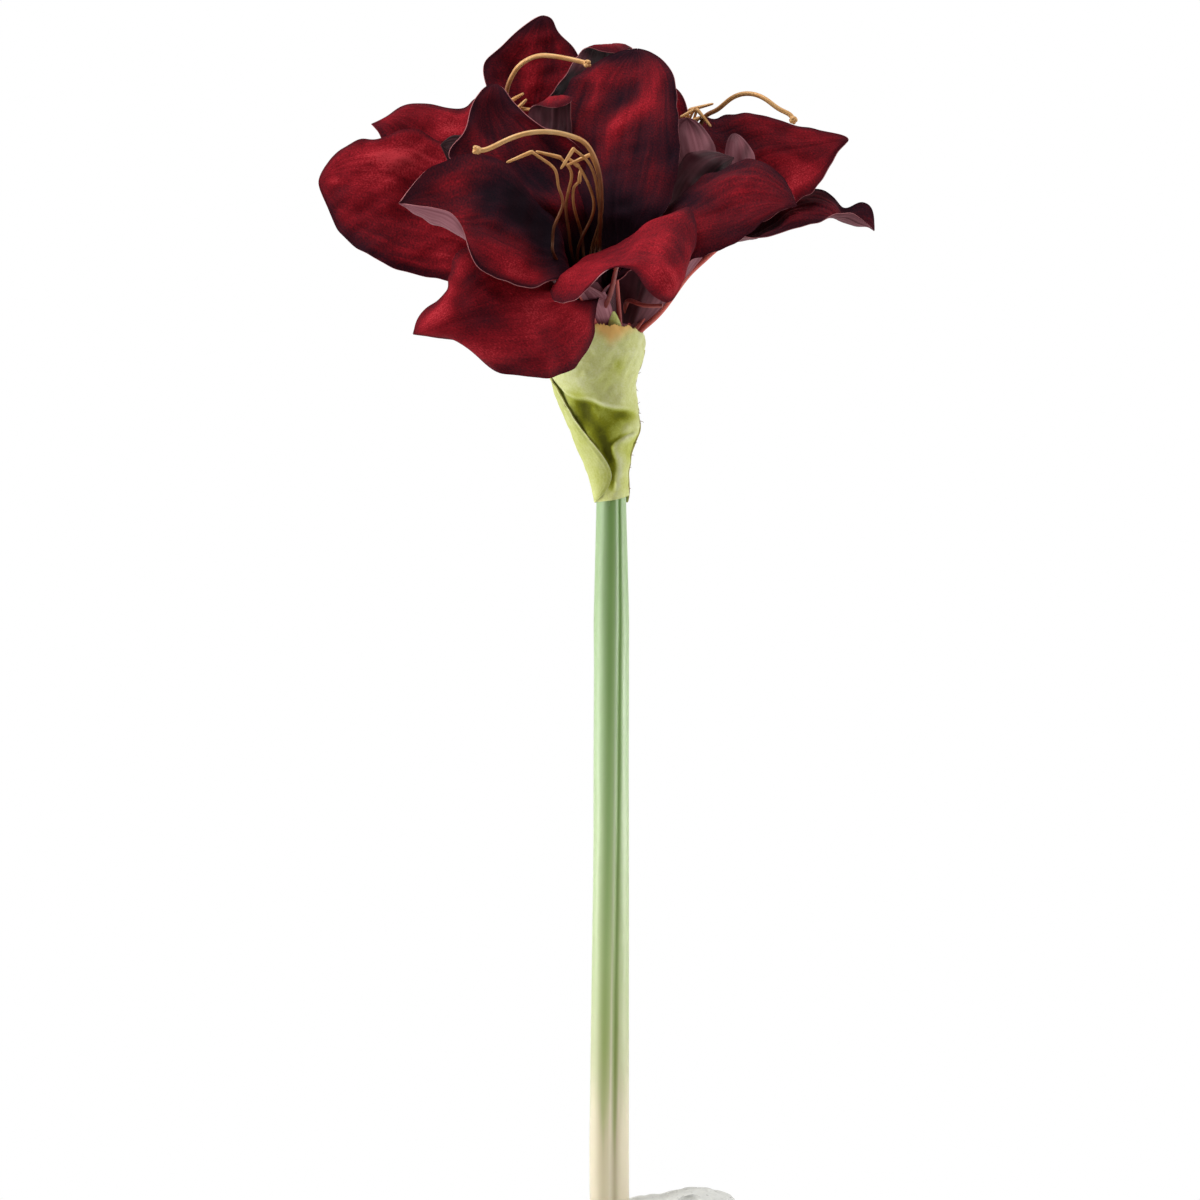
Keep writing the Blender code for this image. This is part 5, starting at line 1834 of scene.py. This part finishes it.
# Each petal's stations run from the throat outwards: left edge, midrib and right edge as seen on
# the inner face with the tip up. Dyed touches with painted highlights and shade, and folds, are
# placed as seen from the front.
FRONT_PETALS = (
    Petal("top", (
        ((-17, -34, 640), (1, -50, 633.5), (19.5, -56, 628)),
        ((-20, -26, 660.5), (3.5, -44, 651.5), (29.5, -52, 641)),
        ((-26, -12, 683), (6, -36, 671), (33.5, -44, 665)),
        ((-22, -8, 700.5), (10, -24, 690), (33, -34, 689.5)),
        ((-9, -6, 713), (13.5, -14, 708), (29.5, -26, 707.5)),
    ), tip=(13.5, -8, 720.5), blunt=True, wave=0.5, layer=2.0, glow=0.39, back=0.45, keel=50.0,
        throat=96.0,
        dye_and_painted_light=(
            Spot(20, 695, 11, 4.5, 0.28, 74), Spot(11, 686, 10, 4.5, 0.34, 34),
            Spot(2.5, 676, 12, 4.2, 0.26, 66), Spot(-1.5, 661, 16, 2.6, 0.12, 86),
            Spot(4, 692, 11, 4.5, -0.24, 42), Spot(0, 706, 18, 6, 0.12), Spot(8, 716, 18, 4, -0.14),
            Spot(-9, 690, 14, 3.5, 0.16, 76), Spot(-14, 694, 16, 1.4, -0.2, 74),
            Spot(30, 680, 26, 5, -0.16, 88), Spot(14, 668, 16, 3, -0.1, 82),
            Spot(8, 658, 14, 2, 0.08, 84), Spot(20, 650, 18, 2.5, 0.1, 76),
            Spot(-10, 668, 16, 4, -0.1, 84), Spot(6, 648, 26, 16, -0.16, 85),
            Spot(0, 652, 9, 5, -0.15, 85)),
        folds=(
            Spot(15, 689, 14, 4.2, 1.5, 44), Spot(4, 692, 12, 4.5, -0.9, 44),
            Spot(2, 675, 12, 3, 1.3, 65), Spot(14, 670, 16, 3.5, -1.2, 82),
            Spot(-14, 694, 16, 1.8, -0.7, 74), Spot(-8, 688, 14, 3.5, 0.9, 74))),
    Petal("top_left", (
        ((-38, -46, 634), (-22, -42, 634), (2, -34, 632)),
        ((-56, -47, 648), (-33, -40, 648.5), (-2, -30, 650)),
        ((-77.5, -49, 660.5), (-45, -36, 665), (-18.5, -36, 671.5)),
        ((-73, -46, 673), (-53, -28, 680.5), (-32.5, -40, 678)),
        ((-69, -36, 686.5), (-57.5, -25, 689), (-44, -34, 687.5)),
        ((-63.5, -26, 698), (-57.5, -20, 698), (-51.5, -25, 698)),
    ), tip=(-57.5, -17, 702), blunt=True, wave=0.5, layer=0.0, glow=0.33, keel=50.0, throat=70.0,
        dye_and_painted_light=(
            Spot(-20, 672, 9, 4, 0.45, -40), Spot(-54, 686, 8, 5, 0.1, 60),
            Spot(-34, 650, 10, 5.5, -0.28, -35), Spot(-66, 672, 14, 4, 0.08, 75),
            Spot(-52, 664, 20, 5, 0.06, 10)),
        folds=(
            Spot(-50, 676, 16, 5, 1.4, 75), Spot(-62, 668, 16, 5, -1.2, 75))),
    Petal("left", (
        ((-24.5, -76, 600.5), (-21.5, -56, 610), (-24.5, -42, 626)),
        ((-37.5, -84, 596.5), (-31.5, -64, 612.5), (-36, -46, 641.5)),
        ((-53.5, -90, 600), (-46, -74, 619.5), (-48, -52, 656.5)),
        ((-65.5, -96, 609.5), (-61, -80, 625.5), (-64, -58, 663)),
        ((-71, -98, 624), (-74, -85, 623.8), (-78, -66, 660)),
        ((-81, -96, 633), (-87, -84, 628), (-90, -74, 652.5)),
    ), tip=(-101, -88, 636.5), wave=0.15, layer=2.0, glow=0.4, back=0.8, keel=50.0, throat=84.0,
        dye_and_painted_light=(
            Spot(-80, 648, 16, 7, 0.24, -10), Spot(-43, 638, 22, 8, -0.44, -55),
            Spot(-59, 640, 13, 6, -0.3, -50), Spot(-64, 622, 9, 5, -0.16, -40),
            Spot(-29, 620, 16, 7, -0.36, -50), Spot(-50, 609, 28, 5.5, 0.3, -28),
            Spot(-40, 601, 13, 4.5, 0.48, -14), Spot(-62, 634, 16, 3, -0.1, -30),
            Spot(-66, 660, 14, 4, 0.14, -5), Spot(-90, 646, 10, 4, -0.12, 40)),
        folds=(
            Spot(-56, 622, 24, 4, -1.4, -28), Spot(-46, 608, 22, 4, 1.2, -30))),
    Petal("low_left", (
        ((-7, -44, 583.5), (-21.5, -54, 592), (-34, -56, 607.5)),
        ((-9, -50, 569.5), (-31, -66, 589), (-53.5, -60, 613)),
        ((-23, -60, 555.5), (-43.5, -78, 586), (-69, -62, 617)),
        ((-40, -66, 554), (-57, -84, 583), (-77, -66, 607.5)),
        ((-56, -70, 557), (-71, -86, 580), (-78.5, -72, 597)),
        ((-71, -74, 569), (-82, -86, 576.5), (-85, -76, 589)),
        ((-83.5, -78, 572), (-89, -82, 575), (-92.5, -78, 581.5)),
    ), tip=(-95.5, -78, 573.5), wave=0.6, layer=1.0, glow=0.65, keel=50.0, throat=50.0,
        dye_and_painted_light=(
            Spot(-78, 594, 13, 5, 0.27, 78), Spot(-88, 582, 11, 5, 0.2, 10),
            Spot(-35, 583, 15, 9, 0.2), Spot(-60, 581, 13, 8, -0.3),
            Spot(-66, 601, 11, 5, -0.25, 60), Spot(-54, 598, 11, 3, 0.14, -40),
            Spot(-59, 566, 12, 3.5, 0.14, -30), Spot(-42, 561, 10, 4, -0.2)),
        folds=(
            Spot(-58, 592, 12, 3, 1.3, -35), Spot(-60, 583, 12, 4, -1.5, 10),
            Spot(-44, 561, 12, 4, -2.2, 10), Spot(-60, 567, 12, 3, 1.6, -30),
            Spot(-32, 560, 8, 4, 1.4, 60))),
    Petal("low_right", (
        ((-11, -50, 610.5), (-20.5, -62, 603.5), (-29.5, -72, 595.5)),
        ((5.5, -54, 621), (-10, -72, 609), (-26, -84, 589.5)),
        ((18.5, -60, 628.5), (-1, -84, 611), (-19, -92, 590)),
        ((30, -66, 635), (7.5, -94, 613), (-10.5, -98, 595.5)),
        ((37.5, -72, 636.5), (16.5, -102, 613), (-1, -106, 603.5)),
        ((41.5, -80, 627.5), (24.5, -108, 609), (11, -112, 602)),
        ((40.5, -90, 613.5), (31, -112, 601), (17.5, -114, 593)),
        ((36, -98, 600), (31.5, -108, 594), (23.5, -110, 588)),
    ), tip=(30, -104, 588), blunt=True, wave=0.4, layer=2.0, glow=0.65, back=0.95, keel=50.0,
        throat=44.0,
        dye_and_painted_light=(
            Spot(0, 610, 16, 5, -0.06, 30), Spot(28, 596, 7, 6, 0.06),
            Spot(22, 612, 8, 4, 0.14, 60), Spot(32, 612, 8, 4, -0.18, 75),
            Spot(16, 606, 7, 4, -0.12, 30), Spot(36, 628, 10, 4, -0.12, 60)),
        folds=(
            Spot(24, 604, 12, 4, 1.6, 75), Spot(8, 614, 14, 4, -1.2, 30),
            Spot(-16, 598, 8, 3, 1.2, 50))),
    Petal("right", (
        ((14.5, -38, 624.5), (17, -56, 617), (19, -68, 609.5)),
        ((30.5, -40, 640.5), (32, -62, 625.5), (35, -76, 608.5)),
        ((45.5, -38, 653), (45.5, -65, 632.5), (46, -76, 613.5)),
        ((61.5, -40, 661), (58.5, -64, 638), (59.5, -74, 617.5)),
        ((76, -44, 659.5), (72, -64, 640), (71, -70, 627)),
        ((86.5, -52, 650), (83.5, -62, 639.5), (81.5, -66, 634.5)),
    ), tip=(91, -60, 637.5), wave=0.6, layer=0.0, keel=50.0, throat=78.0,
        dye_and_painted_light=(
            Spot(66, 657, 24, 5, -0.16, -8), Spot(66, 642, 16, 5, 0.16, 10),
            Spot(36, 642, 14, 8, -0.34), Spot(50, 630, 14, 4, 0.12, 20),
            Spot(62, 624, 16, 3, -0.14, 20)),
        folds=(
            Spot(66, 648, 20, 4, 1.4, -12), Spot(54, 634, 20, 5, -1.4, 10))),
)
LEFT_PETALS = (
    Petal("big_left", (
        ((-54.5, -18, 602), (-56, 0, 629.5), (-60, 8, 666.5)),
        ((-79.5, -22, 604), (-80.5, -6, 639), (-82, 4, 676)),
        ((-101.5, -28, 607.5), (-101, -12, 646), (-98.5, 0, 681)),
        ((-119.5, -30, 615.5), (-116, -16, 650.5), (-115.5, -6, 676)),
        ((-133.5, -26, 628), (-129.5, -18, 652), (-130, -10, 673)),
        ((-140.5, -22, 641.5), (-139, -18, 653), (-140.5, -14, 662.5)),
    ), tip=(-144.5, -18, 653), blunt=True, wave=0.6, layer=2.0, glow=0.66,
        dye_and_painted_light=(
            Spot(-103, 664, 26, 10, 0.26), Spot(-112, 615, 32, 7, -0.36, -24),
            Spot(-137, 640, 18, 5, -0.24, 65), Spot(-100, 625, 26, 6, -0.06, -10),
            Spot(-136, 653, 9, 2.2, 0.26, -4), Spot(-92, 650, 24, 1.6, -0.22, -22),
            Spot(-96, 612, 26, 1.6, 0.16, -6), Spot(-96, 617, 26, 1.4, 0.14, -6)),
        folds=(
            Spot(-110, 662, 26, 6, 1.8, -8), Spot(-112, 676, 16, 4, 1.2, 10),
            Spot(-104, 634, 26, 5, -1.2, -12))),
    Petal("far_left", (
        ((-62.5, 18, 641), (-61, 34, 666.5), (-56, 46, 690.5)),
        ((-85.5, 20, 657.5), (-80, 35, 676.5), (-72.5, 48, 698.5)),
        ((-98.5, 22, 665), (-91.5, 36, 682), (-85, 48, 698.5)),
        ((-109.5, 24, 674), (-101.5, 35, 687.5), (-101, 44, 699)),
        ((-116.5, 28, 681.5), (-110.5, 34, 689.5), (-111.5, 38, 693)),
    ), tip=(-121, 32, 687.5), wave=0.6, layer=0.0, glow=0.62,
        dye_and_painted_light=(
            Spot(-108, 688, 10, 7, -0.12), Spot(-80, 686, 10, 8, 0.26)),
        folds=(
            Spot(-94, 684, 22, 3, -1.2, 12), Spot(-84, 691, 10, 4, 1.2, 50))),
    Petal("crown", (
        ((-55.5, 20, 682.5), (-39.5, 34, 679), (-22.5, 34, 684)),
        ((-62, 24, 701), (-40.5, 38, 697.5), (-24.5, 38, 702.5)),
        ((-64, 28, 714), (-39.5, 40, 711), (-15.5, 38, 718)),
        ((-58, 32, 724), (-37, 41, 724.5), (-20.5, 39, 729)),
        ((-47, 36, 734.5), (-35, 40, 734.5), (-26.5, 40, 735.5)),
        ((-40, 38, 740.3), (-34.5, 40, 740), (-29, 40, 741)),
    ), tip=(-34, 40, 743), blunt=True, wave=0.4, layer=2.0, throat=84.0,
        dye_and_painted_light=(
            Spot(-41, 708, 18, 4, 0.22, 86), Spot(-27, 726, 8, 4, 0.16, 60),
            Spot(-59, 714, 18, 7, -0.06, 76), Spot(-31, 718, 12, 2.5, -0.18, 74),
            Spot(-40, 738, 10, 4, -0.2, 30), Spot(-23, 708, 14, 4, 0.14, 80)),
        folds=(
            Spot(-40, 710, 18, 3.5, 1.3, 85), Spot(-48, 716, 18, 4, -1.2, 75))),
    Petal("curled", (
        ((-22, -6, 652), (-33, 2, 650), (-44, 8, 652)),
        ((-19, -18, 672), (-30, -12, 672), (-42, -4, 675)),
        ((-19, -24, 687), (-28, -18, 688), (-40, -10, 688.5)),
        ((-19, -28, 694), (-26.5, -24, 694.5), (-36, -18, 692)),
        ((-19.5, -33, 692), (-26, -31, 692), (-34, -25, 690.5)),
    ), tip=(-26, -35, 688.5), blunt=True, wave=0.3, layer=1.0, glow=0.66, back=0.46, throat=40.0),
    Petal("far_right", (
        ((-14, 34, 658.5), (-24, 20, 654), (-34, 12, 652)),
        ((-2, 46, 688), (-14, 28, 688), (-33, 20, 690)),
        ((6, 50, 708), (-8, 34, 708), (-29, 22, 703)),
        ((11, 46, 720), (-3, 36, 720), (-20, 24, 716.5)),
        ((11, 38, 727), (0, 28, 728), (-10, 22, 724)),
    ), tip=(5, 18, 722), blunt=True, wave=0.8, layer=2.0, glow=0.62, back=0.06,
        back_dye_and_painted_light=(
            Spot(-16, 719, 7, 8, 0.6, 60),)),
    Petal("near", (
        ((-45, 0, 650.5), (-44, -12, 634.5), (-45.5, -16, 620)),
        ((-61, -6, 670), (-59.5, -18, 654), (-62.5, -22, 637.5)),
        ((-75.5, -14, 676), (-74.5, -22, 666), (-76, -26, 654)),
    ), tip=(-84, -24, 670), wave=0.6, layer=1.0, glow=0.4, back=0.3),
)
RIGHT_PETALS = (
    Petal("high_right", (
        ((40.5, 22, 673), (48, 6, 651), (55.5, -12, 627)),
        ((50.5, 20, 689.7), (61, 4, 660), (74.5, -14, 633.5)),
        ((67.5, 14, 690.5), (78, 2, 667.5), (90.5, -14, 641.5)),
        ((88, 8, 685.5), (95, -1, 670.5), (102, -14, 650.5)),
        ((104, 2, 681), (108, -3, 672.5), (109.5, -10, 662)),
        ((115, -2, 678.5), (114.5, -5, 674), (113.5, -8, 669.5)),
    ), tip=(118.5, -6, 675), blunt=True, wave=0.6, layer=2.0, glow=0.58, throat=70.0,
        dye_and_painted_light=(
            Spot(88, 664, 20, 6, 0.3, -20), Spot(92, 652, 14, 6, 0.14, 50),
            Spot(74, 672, 16, 3, -0.14), Spot(60, 676, 24, 12, -0.34, -25),
            Spot(106, 668, 8, 5, -0.1), Spot(72, 655, 14, 4, 0.1, 60)),
        folds=(
            Spot(80, 668, 26, 5, 1.5, 8), Spot(80, 652, 20, 5, -1.3, 20))),
    Petal("wavy_right", (
        ((37, 17, 613), (37, 9, 608), (34, -2, 612)),
        ((58, 22, 642), (54.5, 8, 623.8), (55, -8, 628)),
        ((78, 10, 646), (73.5, -4, 630.5), (72, -17, 626)),
        ((95.5, 6, 651), (89.5, -6, 638.5), (88, -18, 629.5)),
        ((108, 2, 650.5), (104.5, -10, 639.5), (102, -20, 633)),
        ((116.5, -3, 643), (114.5, -14, 633.5), (113.5, -23, 637.5)),
        ((125, -4, 645), (122.5, -14, 632.5), (121, -23, 636.5)),
        ((131, -8, 640.5), (128.5, -14, 631.5), (127.5, -19, 633)),
    ), tip=(132, -12, 629.5), wave=0.3, layer=0.0, glow=0.35, back=0.68, keel=0.0,
        dye_and_painted_light=(
            Spot(107, 643, 13, 5, -0.08, -20), Spot(126, 638, 8, 4, -0.08),
            Spot(86, 640, 13, 4, 0.1, 20)),
        folds=(
            Spot(100, 642, 12, 4, 1.5, -20), Spot(116, 640, 6, 4, -1.2, 60))),
    Petal("near_tall", (
        ((45, -4, 627.5), (34.5, -14, 624.5), (23, -6, 629)),
        ((55.5, -6, 652), (42, -18, 651), (29, -10, 654)),
        ((53, -6, 667), (40.5, -17, 668), (28, -9, 669)),
        ((49, -7, 677.5), (38, -14, 678.5), (27, -9, 678)),
    ), tip=(38, -12, 685), blunt=True, wave=0.3, layer=2.0, glow=0.4, back=0.82, keel=0.0,
        back_dye_and_painted_light=(
            Spot(42, 682, 12, 5, -0.25, -20), Spot(50, 668, 10, 3, -0.15, 75))),
    Petal("near_low", (
        ((28, -2, 594), (16, -8, 596), (3.5, -6, 600)),
        ((33, -8, 607), (20, -14, 609), (4, -9, 613)),
        ((36.5, -18, 618), (28.5, -22, 623.5), (20, -10, 633.5)),
        ((46.5, -24, 637.5), (40.5, -26, 648), (34.5, -16, 661.5)),
        ((55, -22, 653), (52, -25, 661), (46, -19, 668)),
    ), tip=(61, -17, 664.5), wave=0.5, layer=0.0, glow=0.4, back=0.42, keel=0.0,
        back_dye_and_painted_light=(
            Spot(22, 590, 16, 8, 0.35, 45), Spot(50, 655, 14, 5, -0.3, 40),
            Spot(38, 645, 8, 5, 0.15, 60))),
    Petal("small", (
        ((57, -4, 631), (48.5, -12, 629.5), (40, -6, 634)),
        ((73, -8, 655.5), (64.5, -16, 654), (54.5, -10, 655.5)),
        ((72, -8, 664), (65, -16, 664.5), (56.5, -10, 664)),
        ((69.5, -10, 670.5), (64, -15, 671.5), (57.5, -10, 670.5)),
    ), tip=(62, -10, 677), blunt=True, wave=0.4, layer=1.0, back=0.76, keel=50.0,
        back_dye_and_painted_light=(
            Spot(67, 668, 10, 2, -0.25, 75), Spot(60, 676, 6, 3, -0.2))),
    Petal("back", (
        ((12, 20, 645), (29.5, 34, 646), (46, 34, 646)),
        ((11, 32, 674), (31, 48, 675.5), (50, 44, 675)),
        ((17, 44, 696.5), (31, 54, 699), (41, 50, 695)),
    ), tip=(32, 56, 709), blunt=True, wave=0.8, layer=2.0, glow=0.62, back=0.45, throat=70.0),
)

# The pistil and each filament run from the peg in the foot through these points.
BLOOMS = (
    Bloom("front", base=(-1, -6, 574), axis=(-0.30, -0.60, 0.74), petals=FRONT_PETALS, seed=1,
          pistil=(
              (-5.5, -44, 611), (-5, -60, 629.5), (-4.5, -71, 643.5), (-6.5, -78, 655.5),
              (-11, -84, 664), (-17, -88, 667.5), (-26.5, -92, 669.5), (-38, -96, 669),
              (-49, -98, 665.5), (-58.5, -98, 661), (-64, -98, 660.5)),
          stamens=(
              Stamen(((-25, -60, 609), (-28, -65, 619), (-27, -68, 627), (-23, -71.5, 637),
                  (-25, -75, 645), (-26.5, -79, 652.5), (-32.5, -83, 657.5), (-38, -85, 661)),
                  anther=(-50, -88, 655.5)),
              Stamen(((-17.5, -44, 610.5), (-20, -54, 624), (-21.5, -62, 637),
                  (-19, -70, 648.5), (-20, -75, 654.5), (-24.5, -79, 659)),
                  anther=(-36, -82, 661.5)),
              Stamen(((-8, -46, 613.5), (-4.5, -56, 627.5), (-5.5, -64, 637), (-7, -72, 648),
                  (-11, -78, 657), (-18, -83, 662.5)), anther=(-24, -86, 652.5)),
              Stamen(((-10, -42, 611), (-6, -52, 627), (-4, -62, 640), (-6.5, -71, 653.5),
                  (-10, -76, 660.5)), anther=(-21, -80, 655)),
              Stamen(((-12.5, -42, 611), (-14, -50, 624), (-17, -60, 634), (-18, -66, 644),
                  (-15, -69, 648)), anther=(-14.5, -71, 653.5)),
              Stamen(((-16, -46, 611), (-11, -58, 627.5), (-8, -66, 638.5), (-12, -73, 649.5),
                  (-15.5, -77, 655)), anther=(-20.5, -80, 658.5))),
          ribs=(
              Rib(((-3.5, -12, 580), (-3.5, -26, 588), (-0.5, -40, 594), (2, -58, 603),
                  (4, -78, 610)), tone=0.05, radius=1.5),)),
    Bloom("left", base=(-9, 8, 574), axis=(-0.46, 0.16, 0.87), petals=LEFT_PETALS, seed=2,
          pistil=(
              (-31, 12, 625), (-44, 10, 664), (-51, 6, 690), (-51.5, 2, 701), (-48.5, -2, 708),
              (-44, -6, 713), (-37, -10, 716), (-30, -13, 716), (-22, -15, 714.5),
              (-14, -17, 712.5), (-11.5, -18, 711.5)),
          stamens=(
              Stamen(((-32, 10, 625), (-43, 8, 655), (-47, 4, 684), (-49.5, 0, 695)),
                  anther=(-43, -3, 698.5)),
              Stamen(((-29, 11, 625), (-40, 7, 655), (-44, 2, 682), (-46.5, -2, 690.5)),
                  anther=(-41.5, -4, 695.5)),
              Stamen(((-28, 13, 625), (-37, 9, 655), (-41, 4, 680), (-45, 0, 691)),
                  anther=(-36, -4, 690)),
              Stamen(((-27, 12, 625), (-38, 8, 655), (-45, 3, 682), (-47.5, 0, 692)),
                  anther=(-51.5, -2, 687)))),
    Bloom("right", base=(6, 10, 574), axis=(0.50, 0.10, 0.86), petals=RIGHT_PETALS, seed=3,
          root_radius=4.4, throat_radius=5.0, tube_length=6.0, funnel_share=0.64,
          pistil=(
              (27, 11, 625), (40, 9, 662), (46, 4, 685), (53, 2, 690.5), (60.5, -2, 696),
              (69, -6, 698), (77, -10, 695), (83.5, -12, 690), (89, -13, 687), (91, -14, 684)),
          stamens=(
              Stamen(((26, 13, 625), (36, 11, 660), (38, 8, 683), (40, 5, 691)),
                  anther=(52, 3, 694)),
              Stamen(((25, 11, 625), (34, 9, 660), (40, 6, 680), (43.5, 3, 691)),
                  anther=(50.5, 0, 682)),
              Stamen(((23, 13, 625), (31, 12, 660), (37, 8, 680), (42, 4, 691)),
                  anther=(35, 1, 687)),
              Stamen(((24, 12, 625), (33, 10, 660), (39, 6, 679), (45, 3, 687)),
                  anther=(37, 1, 684))),
          ribs=(
              Rib(((11, 7, 578), (8, 0, 590), (9.5, -10, 594.5), (16, -16, 592),
                  (26, -18, 591.5)), tone=0.3, radius=1.4),
              Rib(((12.7, 6, 576.8), (15.2, 5, 580.8), (22.2, 2, 586.8), (29.5, 0.5, 595.2),
                  (37.8, 1, 606.7), (45.9, 1.5, 614.7), (54, 1, 621.7), (61, 4, 626)), tone=0.9,
                  radius=1.8))),
)


def main() -> None:
    """Build the flower from the vase up, then the studio round it."""
    logging.basicConfig(level=logging.INFO, format="%(name)s: %(message)s")
    PebbleVase().build()
    Scape().build(BLOOMS)
    Bracts().build()
    for bloom in BLOOMS:
        bloom.build()
    Studio().build()
    bpy.context.view_layer.update()


if __name__ == "__main__":
    main()
